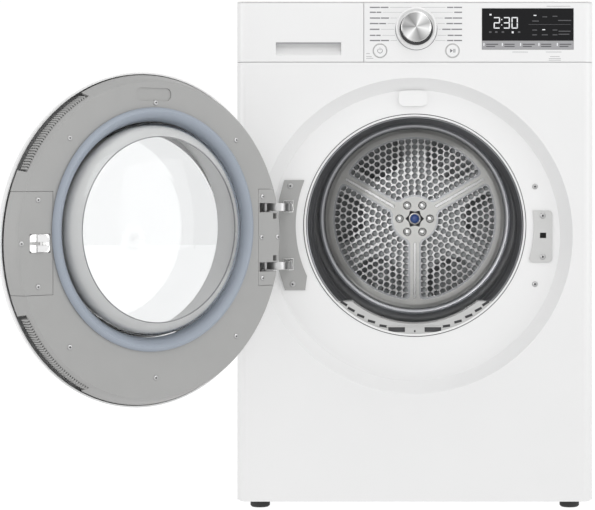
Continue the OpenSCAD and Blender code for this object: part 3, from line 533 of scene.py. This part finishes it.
def make_opening():
    fine = sizes().fine_edge
    z = DRUM_Z
    y = FLOOR_Y / MM
    seat_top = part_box("filter_housing")[1].z / MM
    ring = turned("opening_ring", 0, z, [
        (182.3, y + 1.2), (181.6, y + 0.4), (180, y + 1.6), (178.4, y + 5), (177.4, y + 10), (177, y + 16),
        (175.2, y + 19), (174.8, y + 26), (173.8, y + 32), (171.4, y + 36), (170.2, y + 40),
                                         (170.6, y + 42),
        (173.6, y + 42), (175, y + 37), (177.5, y + 27), (179.5, y + 18), (181, y + 8), (183.6, y + 4)],
                  144)
    box_cut(ring, (-200, y - 5, 200), (200, y + 60, seat_top + 0.3))
    done(ring, 30)
    # painted shade: the stainless ring takes the darker copy of the stainless finish
    finished(ring, "cabinet", "stainless", "dark_steel", replaces=["opening_trim_ring"])
    lip = turned("opening_lip", 0, z, [(182.8, y + 0.8), (182.8, y - 1.2), (183.6, y - 1.8),
                                       (185.4, y - 1.8),
                                       (186.2, y - 1), (186.2, y + 0.8)], 144)
    finished(lip, "cabinet", "white_plastic")
    groove = turned("opening_groove", 0, z,
                    [(186.2, y - 0.15), (186.2, y - 0.5), (187.4, y - 0.5), (187.4, y - 0.15)], 144)
    finished(groove, "cabinet", "dark_plastic")
    seat = softened("filter_housing", "filter_seat", fine)
    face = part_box("filter_housing")[0].y / MM
    # painted shade: dark plates at the bottom of the slots cut in the filter seat, where shade falls
    holes, shade_floors = [], []
    for side in (-1, 1):
        for a in (17.4, 24.2, 30.8, 37.0, 42.2):
            t = math.radians(a)
            cx, cz = side * 177.5 * math.sin(t), z / MM - 177.5 * math.cos(t)
            tilt = math.radians(side * (a - 9))
            holes.append(slanted("slot", cx, cz, 6.4, 2.2, tilt, face - 1, face + 4))
            shade_floors.append(slanted("floor", cx, cz, 7.2, 3.0, tilt, face + 3.6, face + 3.9))
        x0, x1 = sorted((side * 16.5, side * 44.5))
        holes.append(slab("slot", box_outline(x0, z / MM - 179.5, x1, z / MM - 171.5), face - 1, face + 4))
        shade_floors.append(slab("floor", box_outline(x0 - 0.8, z / MM - 180.5, x1 + 0.8, z / MM - 170.5),
                           face + 3.6, face + 3.9))
    holes.append(slab("slot", box_outline(-1.3, z / MM - 180, 1.3, z / MM - 176.4), face - 1, face + 2))
    shade_floors.append(slab("floor", box_outline(-2, z / MM - 181, 2, z / MM - 176), face + 1.6, face + 1.9))
    for h in holes:
        cut(seat, h)
    done(seat, 35)
    finished(joined("filter_slots", shade_floors), "cabinet", "dark_plastic")
    tab = slab("filter_tab", box_outline(-47.5, z / MM - 170.6, 47.5, z / MM - 168.6), face - 1.4, face + 1,
               edge=0.5)
    finished(tab, "cabinet", "light_grey_plastic")
    softened("lint_filter_outer", "lint_screen_outer", fine)
    softened("lint_filter_inner", "lint_screen_inner", fine)
    softened("hinge_plate", "hinge_mount", fine)
    softened("catch_plate", "catch_mount", fine, look="catch_grey")
    for side in (-1, 1):
        z_arm = DOOR_Z / MM + side * 48.5
        frame_low = (-220.5, y - 4.2, z_arm - 10)
        plate = block("arm_frame", frame_low, (-203.5, y - 2.4, z_arm + 10), 0.5)
        box_cut(plate, (-218.6, y - 6, z_arm - 8.2), (-205.4, y, z_arm + 8.2))
        plate.name = plate.data.name = "arm_frame_" + ("low" if side < 0 else "high")
        finished(plate, "cabinet", "bright_steel")


def slanted(name, x, z, half_l, half_w, tilt, y0, y1):
    """A small slab turned in the plane of the front."""
    c, s = math.cos(tilt), math.sin(tilt)
    corners = [(-half_l, -half_w), (half_l, -half_w), (half_l, half_w), (-half_l, half_w)]
    return slab(name, [(x + u * c - v * s, z + u * s + v * c) for u, v in corners], y0, y1)


def sector(a0, a1, r0, r1, half, fillet, z):
    """Outline of a perforated field between two spokes, with round corners."""
    def at(r, a):
        return (r * math.cos(a), z + r * math.sin(a))
    def edge_angle(r, d):
        return math.asin(d / r)
    s0, s1 = math.radians(a0), math.radians(a1)
    points = []
    outer0, outer1 = s0 + edge_angle(r1, half + fillet), s1 - edge_angle(r1, half + fillet)
    inner0, inner1 = s0 + edge_angle(r0, half + fillet * 0.6), s1 - edge_angle(r0, half + fillet * 0.6)
    steps = 40
    points += [at(r1, outer0 + (outer1 - outer0) * i / steps) for i in range(steps + 1)]
    points += [at(r1 - fillet * 0.3, s1 - edge_angle(r1, half + fillet * 0.3)),
               at(r1 - fillet, s1 - edge_angle(r1 - fillet, half))]
    points += [at(r0 + fillet * 0.7, s1 - edge_angle(r0 + fillet * 0.7, half))]
    points += [at(r0, inner1 + (inner0 - inner1) * i / 16) for i in range(17)]
    points += [at(r0 + fillet * 0.7, s0 + edge_angle(r0 + fillet * 0.7, half))]
    points += [at(r1 - fillet, s0 + edge_angle(r1 - fillet, half)),
               at(r1 - fillet * 0.3, s0 + edge_angle(r1, half + fillet * 0.3))]
    return points


SPOKES = (30, 150, 270)


def drum_holes(r0, r1):
    """Centres of the drum's holes: staggered rows on circles, in the fields between the spokes."""
    pitch = sizes().hole_pitch
    rows = round((r1 - r0) / (pitch * 0.88)) + 1
    row_step = (r1 - r0) / (rows - 1)
    spots = []
    for i in range(rows):
        r = r0 + i * row_step
        for s in SPOKES:
            margin = math.degrees(math.asin(0.0172 / r))
            a0, a1 = s + margin, s + 120 - margin
            n = int(math.radians(a1 - a0) * r / pitch)
            for k in range(n + 1):
                a = math.radians(a0 + (a1 - a0) * (k / n if n else 0.5))
                spots.append((r * math.cos(a), r * math.sin(a)))
    return spots


def spread(o, angles, z):
    """Copies turned about the drum's axis; the piece is modelled upright, above the axis."""
    return copies(o, [Matrix.Translation((0, 0, z)) @ Matrix.Rotation(math.radians(90 - a), 4,
        "Y") for a in angles])


def make_drum_back():
    z = DRUM_Z
    y = DRUM_BACK_Y / MM
    r = (DRUM_HIGH.x / MM) - 1.3
    plate = turned("drum_back", 0, z, [
        (0, y), (172, y), (172, y + 2), (0, y + 2)], steps=144)
    cone = turned("drum_back_cone", 0, z, [
        (171, y + 1.9), (171, y - 0.5), (174, y - 2.6), (178, y - 3), (181, y - 1), (184, y - 7),
        (190, y - 20), (196, y - 31), (203, y - 37.5), (212, y - 40.5), (230, y - 42), (r - 8, y - 42),
                                           (r - 2, y - 40),
        (r, y - 36), (r, y), (r - 1.2, y), (r - 1.2, y - 35), (r - 9, y - 40), (230, y - 40),
                                           (212, y - 38.5),
        (204, y - 35.5), (198, y - 29), (192, y - 18.5), (186, y - 6), (182, y + 1), (177, y + 2)],
                  steps=144)
    # painted shade: the stainless cone takes the darker copy of the stainless finish
    finished(cone, "drum", "stainless", "dark_steel")
    holes = drum_holes(0.0485, 0.1480)
    clear()
    bpy.ops.mesh.primitive_cylinder_add(vertices=12, radius=sizes().hole_r, depth=0.02,
                                        rotation=(math.radians(90), 0, 0),
                                        location=(0, (y + 1) * MM, 0))
    punch = named("hole_punch")
    punch = copies(punch, [Matrix.Translation((hx, 0, z + hz)) for hx, hz in holes])
    cut(plate, punch)
    done(plate, 25)
    finished(plate, "drum", "stainless", replaces=["drum_back_plate"])
    lip = turned("hole_lips", 0, 0, [(4.8, y + 0.6), (4.8, y - 0.5), (5.2, y - 0.75), (5.8, y + 0.2)],
                 steps=12)
    lip = copies(lip, [Matrix.Translation((hx, 0, z + hz)) for hx, hz in holes])
    finished(lip, "drum", "stainless", "bright_steel")
    # the raised web: rim, three spokes and hub in one pressing
    web = turned("drum_web", 0, z, [(0, y - 4), (163, y - 4), (168, y - 3.6), (170.6, y - 2),
                                    (171, y + 0.6), (0, y + 0.6)], 144)
    for a in SPOKES:
        cut(web, slab("field", sector(a, a + 120, 42, 155.5, 8.6, 9, z / MM), y - 9, y + 4))
    bevelled(web, 0.0022, 3, 40)
    finished(web, "drum", "stainless", "web_steel")
    # a rounded step inside each field's edge in the darker steel: painted shade along the foot of the raised web
    for i, a in enumerate(SPOKES):
        step = slab("field_step_%d" % i, sector(a, a + 120, 41, 156.5, 7.6, 9, z / MM), y - 1.4, y + 0.4)
        cut(step, slab("inner", sector(a, a + 120, 45.5, 152, 12.4, 8, z / MM), y - 6, y + 4))
        bevelled(step, 0.0006, 2, 40)
        finished(step, "drum", "stainless", "dark_steel")
    spine = slab("drum_spines", [(-2.6, 45), (2.6, 45), (2.6, 152), (-2.6, 152)], y - 4.9, y - 3.6,
                 round_r=2, edge=0.5)
    finished(spread(spine, SPOKES, z), "drum", "stainless")
    star = []
    for i in range(12):
        t, rr = math.radians(30 * i + 30), (18 if i % 2 == 0 else 13)
        star.append((rr * math.sin(t), z / MM + rr * math.cos(t)))
    star = slab("hub_star", star, y - 6, y - 3.6, round_r=1.5, edge=0.7)
    finished(star, "drum", "dark_plastic")
    cap = turned("hub_cap", 0, z, [(0, y - 9), (6.4, y - 9), (7.8, y - 8.2), (8.2, y - 6.5), (8.2, y - 4),
                                   (0, y - 4)], 48)
    finished(cap, "drum", "bright_steel", "blue_cap")
    ring = turned("hub_washer", 0, z, [(8.2, y - 4), (8.2, y - 7.4), (9.2, y - 7.9), (11, y - 7.6),
                                       (11.8, y - 6.4), (11.8, y - 4)], 64)
    finished(ring, "drum", "bright_steel")
    seat = turned("hub_seats", 0, 0, [(5.6, y - 3.6), (5.9, y - 4.7), (7, y - 5), (7.9, y - 4.4),
                                      (8, y - 3.6)], 28)
    seat.data.transform(Matrix.Translation((0, 0, 29 * MM)))
    finished(spread(seat, range(0, 360, 60), z), "drum", "bright_steel")
    screw = socket_screw("hub_fixings", 4.6, y - 4, z=29)
    finished(spread(screw, range(0, 360, 60), z), "drum", "bright_steel", replaces=["hub_screws"])


def socket_screw(name, r, y, z=0.0, depth=1.6):
    """Pan head with a sunk cross, its face towards -Y; r, y and z in millimetres."""
    head = turned(name, 0, z * MM, [(0, y - depth), (r * 0.55, y - depth), (r * 0.86, y - depth * 0.8),
                                    (r, y - depth * 0.35), (r, y + 0.3), (0, y + 0.3)], steps=20)
    for w, h in ((r * 0.5, r * 0.14), (r * 0.14, r * 0.5)):
        cut(head, block("cross", (-w, y - depth - 1, z - h), (w, y - depth * 0.4, z + h)))
    return done(head, 30)


def screw_cross_shade(name, r, y, depth=1.6):
    """The dark bottom of a screw's cross."""
    return turned(name, 0, 0, [(0, y - depth - 0.05), (r * 0.3, y - depth - 0.05),
                               (r * 0.36, y - depth * 0.8),
                               (r * 0.36, y - 0.2), (0, y - 0.2)], steps=12)


def make_screws():
    fine = [(-209, 541), (-205, 376), (215, 491), (215, 422)]
    y = FLOOR_Y / MM - 2.5
    head = socket_screw("plate_screws", 4.8, y)
    places = [Matrix.Translation((x * MM, 0, z * MM)) for x, z in fine]
    places += [Matrix.Translation((0.202, 0.0025, z * MM)) for z in (540, 376)]
    finished(copies(head, places), "cabinet", "bright_steel", "screw_steel", replaces=["front_screws"])
    # painted shade in the crosses of the plate screws
    finished(copies(screw_cross_shade("plate_sockets", 4.8, y), places), "cabinet", "bright_steel",
             "black_paint")
    # door screws: the heads look to +Y on the closed door
    spots = [(223.8 * math.cos(math.radians(a)), 223.8 * math.sin(math.radians(a))) for a in (45, 135, 225,
        315)]
    spots += [(0, 215), (0, -215), (-212.6, 66.5), (-212.6, -66.5), (-211, 0), (-244, 0), (214, 65),
              (214, -65), (243, 0)]
    head = socket_screw("door_fixings", 4.2, 0)
    flip = Matrix.Translation((0, HINGE.y + RING_FACE, 0)) @ Matrix.Rotation(math.pi, 4, "Z")
    places = [DOOR_TURN @ Matrix.Translation((x * MM, 0, DOOR_Z + z * MM)) @ flip for x, z in spots]
    finished(copies(head, places), "door", "bright_steel", "screw_steel", replaces=["door_screws"])
    # painted shade in the crosses of the door screws
    finished(copies(screw_cross_shade("door_sockets", 4.2, 0), places), "door", "bright_steel", "black_paint")


def door_turned(name, profile, centre_z=None, steps=160, angle=30):
    """Turned on the closed door; the profile is (radius, distance behind the hinge pins)."""
    hy = HINGE.y / MM
    o = turned(name, 0, DOOR_Z if centre_z is None else centre_z, [(r, n + hy) for r, n in profile], steps,
               angle)
    return open_door(o)


def make_door():
    fine = sizes().fine_edge
    softened("door_outer_cover", "door_cover", fine)
    softened("door_inner_ring", "door_ring", fine * 1.5, 3)
    softened("latch_cover", "latch_trim", fine)
    softened("hinge_cover", "hinge_trim", fine)
    n = HINGE.y / MM
    softened("door_hook", "catch_hook", fine * 0.6)
    bow = [(203.5 - 9.5 * math.sin(math.radians(a)),
            DOOR_Z / MM + 13.2 * math.cos(math.radians(a))) for a in range(0, 181, 15)]
    plate = slab("catch_face", [(215.6, DOOR_Z / MM - 13.2), (215.6, DOOR_Z / MM + 13.2)] + bow, n + 36.6,
                 n + 38.4, edge=0.5)
    finished(open_door(plate), "door", "bright_steel", "screw_steel")
    pit = slab("catch_pit", [(228.4, DOOR_Z / MM + 14.4), (191.6, DOOR_Z / MM + 14.4),
                             (191.6, DOOR_Z / MM - 14.4),
                             (228.4, DOOR_Z / MM - 14.4)], n + 29, n + 30.2, round_r=3)
    finished(open_door(pit), "door", "grey_plastic")
    frame_ring = door_turned("window_frame", [
        (163, -17), (163, 30), (161.2, 38.3), (157.3, 43.6), (149, 49.2), (145.4, 51), (145.4, 50),
                                              (149, 48.2), (156.8, 42.8),
        (160.4, 37.8), (162.2, 30), (162.2, -17)], DRUM_Z)
    finished(frame_ring, "door", "white_plastic")
    line = door_turned("window_edge", [(145.4, 49.8), (145.4, 51.4), (144.6, 51.9), (143.9, 51.9),
                                       (143.9, 49.8)], DRUM_Z)
    finished(line, "door", "white_plastic", "touch_strip")
    softened("hinge_arms", "hinge_goosenecks", fine, look="arm_steel")
    seal = door_turned("door_gasket", [
        (178.4, 30), (178.4, 38.2), (184, 38.25), (190, 38.3), (190.8, 40), (190, 43), (187.5, 46.3),
                                       (184.5, 47.8),
        (181.5, 47), (177.5, 44), (174.5, 41), (172.5, 37.5), (171, 34), (169, 30)], DRUM_Z)
    finished(seal, "door", "seal_rubber", replaces=["door_seal"])
    bowl = door_turned("glass_bowl", [
        (178, 20), (178, 24), (169, 24), (167.5, 30), (165.5, 39), (161, 46.5), (152.5, 53), (144, 57.2),
                                      (128, 61.4),
        (110, 64.8), (90, 67.6), (68, 69.9), (40, 71.5), (0, 72),
        (0, 68), (40, 67.5), (67.6, 65.9), (89.2, 63.7), (108.8, 61), (126.6, 57.6), (142, 53.5),
                                      (150, 49.8),
        (158, 44.2), (161.8, 38.4), (163.6, 30), (163.8, 20)], DRUM_Z, angle=60)
    finished(bowl, "door", "clear_glass", replaces=["door_glass"])


def make_grips():
    """Fine ribs across the two finger grips, all modelled from one rib."""
    rib = block("grip_ribs", (249.6, RING_BACK / MM + 0.5, -1.6), (256.4, RING_FACE / MM - 6.6, 1.6), 1.4)
    step = math.degrees(sizes().rib_pitch / 0.2555)
    places = []
    for start in (25.6, -61.4):
        for k in range(int(36 / step)):
            places.append(DOOR_TURN @ Matrix.Translation((0, HINGE.y, DOOR_Z))
                          @ Matrix.Rotation(-math.radians(start + step * (k + 0.5)), 4, "Y"))
    rib = copies(rib, places)
    finished(rib, "door", "grey_plastic")


def make_knob():
    x, z = KNOB.x, KNOB.z
    y = KNOB_LOW.y / MM
    front = FRONT_Y / MM
    face = turned("knob_face", x, z, [(0, y + 0.4), (22.4, y + 0.4), (23, y), (23.7, y + 0.3),
                                      (24.2, y + 1.2),
                                      (24.2, y + 6), (0, y + 6)], 96)
    finished(face, "knob", "bright_steel", knob_face_painted_sheen())
    skirt = turned("knob_skirt", x, z, [(24, y + 1.4), (24.9, y + 2), (25.1, y + 4), (25.1, front - 1.4),
                                        (23, front - 1.4),
                                        (23, y + 5), (5.9, y + 5), (5.9, front + 14), (0, front + 14),
                                        (0, y + 4.5),
                                        (24, y + 4.5)], 96)
    finished(skirt, "knob", "bright_steel", replaces=["knob"])
    # painted shadow: a black ring set a little low round the knob, so a dark crescent of shade shows below the
    # knob
    shadow_ring = turned("knob_well", x, z - 0.0026,
                  [(0, front - 0.3), (0, front - 1.1), (26.8, front - 1.1), (27.8, front - 0.7),
                                               (27.8, front - 0.3)], 96)
    finished(shadow_ring, "cabinet", "white_plastic", "black_paint")
    ring = turned("knob_bezel_line", x, z - 0.003,
                  [(34.2, front + 0.4), (34.2, front - 0.35), (35.2, front - 0.35),
                                                    (35.2, front + 0.4)], 96)
    finished(ring, "cabinet", "white_plastic", "grey_print")
    for name in ("power_button", "start_button"):
        softened(name, name.replace("button", "key"), sizes().fine_edge)
        low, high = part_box(name)
        cx, cz = (low.x + high.x) / 2, (low.z + high.z) / 2
        ring = turned(name.split("_")[0] + "_key_rim", cx, cz,
                      [(11.15, front + 1), (11.15, front - 0.25), (12.3, front - 0.2),
                                                                 (12.9, front + 1)], 64)
        finished(ring, "cabinet", "white_plastic", "light_grey_plastic")
    # power mark: a broken ring and a stroke; start mark: a triangle and two bars
    low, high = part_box("power_button")
    cx, cz, yy = (low.x + high.x) / 2 / MM, (low.z + high.z) / 2 / MM, front - 0.6
    arc = [(cx + 4.4 * math.sin(math.radians(a)), cz + 4.4 * math.cos(math.radians(a))) for a in range(35,
        326, 15)]
    inner = [(cx + 3.5 * math.sin(math.radians(a)),
              cz + 3.5 * math.cos(math.radians(a))) for a in range(325, 34, -15)]
    mark = joined("power_mark", [slab("arc", arc + inner, yy - 0.12, yy + 0.2),
                                 slab("stroke", box_outline(cx - 0.45, cz + 0.8, cx + 0.45, cz + 5.2),
                                      yy - 0.12, yy + 0.2)])
    finished(mark, "power_button", "grey_plastic", "grey_print")
    low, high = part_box("start_button")
    cx = (low.x + high.x) / 2 / MM
    mark = joined("start_mark", [slab("wedge", [(cx - 4, cz - 3.4), (cx + 0.6, cz), (cx - 4, cz + 3.4)],
                                      yy - 0.12, yy + 0.2)]
                  + [slab("bar", box_outline(cx + d, cz - 3, cx + d + 1.1, cz + 3), yy - 0.12,
                          yy + 0.2) for d in (1.6, 3.6)])
    finished(mark, "start_button", "grey_plastic", "grey_print")


SEGMENTS = {"2": "abged", "3": "abgcd", "0": "abcdef"}


def digit(x, z, w, h, glyph, y0, y1):
    """A seven-segment figure with its lower left corner at x and z."""
    t, g = w * 0.17, w * 0.06
    bars = {
        "a": (x + g, z + h - t, x + w - g, z + h),
            "g": (x + g, z + h / 2 - t / 2, x + w - g, z + h / 2 + t / 2),
        "d": (x + g, z, x + w - g, z + t), "f": (x, z + h / 2 + g, x + t, z + h - g),
            "e": (x, z + g, x + t, z + h / 2 - g),
        "b": (x + w - t, z + h / 2 + g, x + w, z + h - g), "c": (x + w - t, z + g, x + w, z + h / 2 - g)}
    return [slab("segment", box_outline(*bars[s]), y0, y1) for s in SEGMENTS[glyph]]


def make_display():
    softened("display_panel", "display_window", 0.0003)
    x0, x1 = DISPLAY_LOW.x / MM, DISPLAY_HIGH.x / MM
    z0, z1 = DISPLAY_LOW.z / MM, DISPLAY_HIGH.z / MM
    y = DISPLAY_LOW.y / MM
    t = sizes().print_t / MM
    strip_top = z0 + 14.7
    strip = slab("touch_strip", box_outline(x0 + 0.2, z0 + 0.2, x1 - 0.2, strip_top), y - t, y + 0.4)
    finished(strip, "cabinet", "grey_plastic", "touch_strip")
    figures = []
    for x, glyph in ((x0 + 19.6, "2"), (x0 + 36, "3"), (x0 + 49.4, "0")):
        figures += digit(x, z1 - 33.8, 10.6, 19.2, glyph, y - t, y + 0.4)
    for dz in (-28.6, -19.6):
        figures.append(slab("dot", box_outline(x0 + 32.2, z1 + dz, x0 + 33.9, z1 + dz + 1.8), y - t,
                            y + 0.4))
    for dx, dz, w, h in ((86.4, -12.6, 4.6, 1.6), (101, -36.4, 4.6, 1.6), (12.6, -11.8, 3.4, 2.6),
                         (49.8, -41.6, 3.2, 3.2)):
        figures.append(slab("light", box_outline(x0 + dx, z1 + dz, x0 + dx + w, z1 + dz + h), y - t,
                            y + 0.4))
    for k in range(5):
        x = x0 + 2.6 + k * (x1 - x0) / 5
        figures.append(slab("tick", box_outline(x, z0 + 6.0, x + 1.5, z0 + 11), y - 2 * t, y + 0.4))
    finished(joined("display_figures", figures), "cabinet", "black_glass", "white_print")
    faint = []
    for dx, dz, w in ((84, -21, 11), (101, -14, 8), (118, -13, 8), (127, -20, 22), (84, -36, 8),
                      (118, -36, 8), (84, -44, 8),
                      (100, -44, 10), (118, -44, 8), (128, -38, 20), (128, -43, 18)):
        faint.append(slab("legend", box_outline(x0 + dx, z1 + dz - 1, x0 + dx + w, z1 + dz + 0.6), y - t,
                          y + 0.4))
    for dx in (12, 22, 33, 60):
        faint.append(slab("legend", box_outline(x0 + dx, z1 - 41, x0 + dx + 4, z1 - 38.2), y - t, y + 0.4))
    faint.append(slab("legend", box_outline(x0 + 78, z1 - 27.2, x0 + 148, z1 - 26.6), y - t, y + 0.4))
    for k in range(5):
        x = x0 + 7 + k * (x1 - x0) / 5
        for dz, w in ((8.8, 20 - 3 * (k % 2)), (5.2, 15 + 2 * (k % 2))):
            faint.append(slab("legend", box_outline(x, z0 + dz - 0.8, x + w, z0 + dz + 0.8), y - 2 * t,
                              y + 0.4))
    finished(joined("display_legends", faint), "cabinet", "black_glass", "dim_print")


def make_dial_marks():
    """Plain lines in place of programme names, seven each side of the knob."""
    y = FRONT_Y / MM
    t = sizes().print_t / MM
    rows = [TOP_Z / MM - d for d in (10.8, 19.0, 28.6, 37.8, 47.4, 57.5, 66.1)]
    left_w = (31, 19, 32, 27, 16, 18, 32)
    right_w = (25, 13, 29, 26, 33, 24, 25)
    bars = []
    for i, z in enumerate(rows):
        z += 0.2
        x0 = -75.0
        for w in word_lengths(left_w[i]):
            bars.append(slab("word", box_outline(x0, z - 1.0, x0 + w, z + 1.0), y - t, y + 0.4))
            x0 += w + 1.2
        x1 = 79.0
        for w in word_lengths(right_w[i]):
            bars.append(slab("word", box_outline(x1 - w, z - 1.0, x1, z + 1.0), y - t, y + 0.4))
            x1 -= w + 1.2
    finished(joined("dial_legends", bars), "cabinet", "grey_plastic", "grey_print")
    lines = []
    for i, z in enumerate(rows):
        dz = z - KNOB.z / MM + 3
        reach = 37.0
        edge = math.sqrt(max(0.0, reach * reach - dz * dz)) if abs(dz) < reach else 12
        a, b = -75 + left_w[i] + 2.5, KNOB.x / MM - edge
        if b > a + 1.5:
            lines.append(slab("line", box_outline(a, z, b, z + 0.45), y - t, y + 0.4))
        a, b = KNOB.x / MM + edge, 79 - right_w[i] - 2.5
        if b > a + 1.5:
            lines.append(slab("line", box_outline(a, z, b, z + 0.45), y - t, y + 0.4))
    x = -81.0
    for dx, dz, w in ((0, 14, 6), (0, 9, 9), (0, 6, 12)):
        lines.append(slab("line", box_outline(x + dx, 748 + dz, x + dx + w, 748 + dz + 0.7), y - t,
                          y + 0.4))
    for x, z, w in ((163, 764.5, 26), (219, 764.5, 26), (226, 757, 16), (224, 753.5, 20), (224, 750.8, 20),
                    (220, 841, 40)):
        lines.append(slab("line", box_outline(x, z, x + w, z + 0.7), y - t, y + 0.4))
    finished(joined("panel_lines", lines), "cabinet", "grey_plastic", "touch_strip")


def word_lengths(width):
    """Splits a row into a few short dashes, like the words of a label."""
    return [width] if width < 18 else [width * 0.56 - 0.6, width * 0.44 - 0.6]


# ------------------------------------------------------------------ stage

def area_light(name, place, aim, size, power, tint=(1, 1, 1)):
    clear()
    bpy.ops.object.light_add(type="AREA", location=place)
    lamp = bpy.context.object
    lamp.name = lamp.data.name = name
    lamp.rotation_euler = (Vector(aim) - Vector(place)).to_track_quat("-Z", "Y").to_euler()
    lamp.data.size, lamp.data.energy, lamp.data.color = size, power, tint
    return lamp


def make_stage():
    r = sizes().stage_r
    clear()
    bpy.ops.mesh.primitive_grid_add(x_subdivisions=8, y_subdivisions=8, size=2 * r, location=(0, 0, 0))
    floor = named("studio_floor")
    dress(floor, "stage")
    world = bpy.data.worlds.new("studio")
    bpy.context.scene.world = world
    world.use_nodes = True
    tree = world.node_tree
    sky = tree.nodes["Background"]
    sky.inputs["Color"].default_value = (1, 1, 1, 1)
    # the matt surfaces get less of the surround than the eye, the gloss and the glass do
    path = tree.nodes.new("ShaderNodeLightPath")
    level = node(tree, "ShaderNodeMapRange", To_Min=1.02, To_Max=0.56)
    tree.links.new(path.outputs["Is Diffuse Ray"], level.inputs["Value"])
    tree.links.new(level.outputs["Result"], sky.inputs["Strength"])
    area_light("key_light", (1.3, -3.4, 2.7), (0, -0.2, 0.5), 2.0, 32)
    area_light("fill_light", (-2.6, -3.2, 1.5), (-0.2, -0.3, 0.5), 2.4, 12)
    area_light("top_light", (0.2, -0.9, 3.0), (0, -0.2, 0.4), 1.8, 10)
    for side in (-1, 1):
        area_light("side_light_" + ("left" if side < 0 else "right"), (side * 3.4, -1.6, 0.9),
                   (0, -0.1, 0.5), 1.6, 16)
    # a narrow lamp that only reaches into the drum
    clear()
    place, aim = Vector((-0.5, FRONT_Y - 3.3, 0.85)), Vector((0, FLOOR_Y, DRUM_Z))
    bpy.ops.object.light_add(type="SPOT", location=place)
    lamp = bpy.context.object
    lamp.name = lamp.data.name = "drum_light"
    lamp.rotation_euler = (aim - place).to_track_quat("-Z", "Y").to_euler()
    lamp.data.energy, lamp.data.shadow_soft_size = 52, 0.12
    lamp.data.spot_size, lamp.data.spot_blend = 2 * math.atan(0.181 / (aim - place).length), 0.05
    bpy.context.scene.view_settings.view_transform = "Standard"
    clear()
    bpy.ops.object.camera_add(location=(0, FRONT_Y - 3.5, 0.568), rotation=(math.radians(90), 0, 0))
    camera = bpy.context.object
    camera.name = camera.data.name = "view"
    camera.data.lens, camera.data.sensor_width = 126.8, 36
    camera.data.shift_x, camera.data.shift_y = -0.19706, -0.14303
    camera.data.clip_end = 60
    bpy.context.scene.camera = camera


STEPS = [
    ("stage", "Floor, light and camera", "Sets up the pale floor, the soft lights and the camera",
     make_stage),
    ("frame_finishes", "Frame finishes", "Gives every part of the frame its finish", make_frame_finishes),
    ("cabinet", "Cabinet", "Builds the rounded outer panels, the drawer and the feet", make_cabinet),
    ("opening", "Loading opening", "Builds the ring, the filter seat and the plates beside the opening",
     make_opening),
    ("drum_back", "Drum back", "Builds the perforated back of the drum with its spokes and hub",
     make_drum_back),
    ("door", "Door", "Builds the door's cover, ring, seal, glass bowl, latch and hinge", make_door),
    ("grips", "Finger grips", "Builds the ribs of the door's finger grips", make_grips),
    ("screws", "Screws", "Builds the screws of the door and of the plates", make_screws),
    ("knob", "Knob and keys", "Builds the knob, its ring and the two round keys", make_knob),
    ("display", "Display", "Builds the display window, its figures and the touch strip", make_display),
    ("dial_marks", "Dial marks", "Builds the printed lines round the knob", make_dial_marks),
]
OPERATORS = [operator(*s) for s in STEPS]


class DRYER_PT_panel(bpy.types.Panel):
    """Lists the steps that build the dryer"""

    bl_label = "Clothes dryer"
    bl_idname = "DRYER_PT_panel"
    bl_space_type = "VIEW_3D"
    bl_region_type = "UI"
    bl_category = "Dryer"

    def draw(self, context):
        for name, label, _, _ in STEPS:
            self.layout.operator("dryer." + name, text=label)
        for group in (context.scene.dryer_sizes, context.scene.dryer_colours):
            box = self.layout.box()
            for key in group.__annotations__:
                box.prop(group, key)


CLASSES = [DryerSizes, DryerColours, *OPERATORS, DRYER_PT_panel]


def register():
    for c in CLASSES:
        bpy.utils.register_class(c)
    bpy.types.Scene.dryer_sizes = bpy.props.PointerProperty(type=DryerSizes)
    bpy.types.Scene.dryer_colours = bpy.props.PointerProperty(type=DryerColours)


def unregister():
    del bpy.types.Scene.dryer_colours
    del bpy.types.Scene.dryer_sizes
    for c in reversed(CLASSES):
        bpy.utils.unregister_class(c)


def main():
    register()
    for name, _, _, _ in STEPS:
        getattr(bpy.ops.dryer, name)()
    clear()


if __name__ == "__main__":
    main()
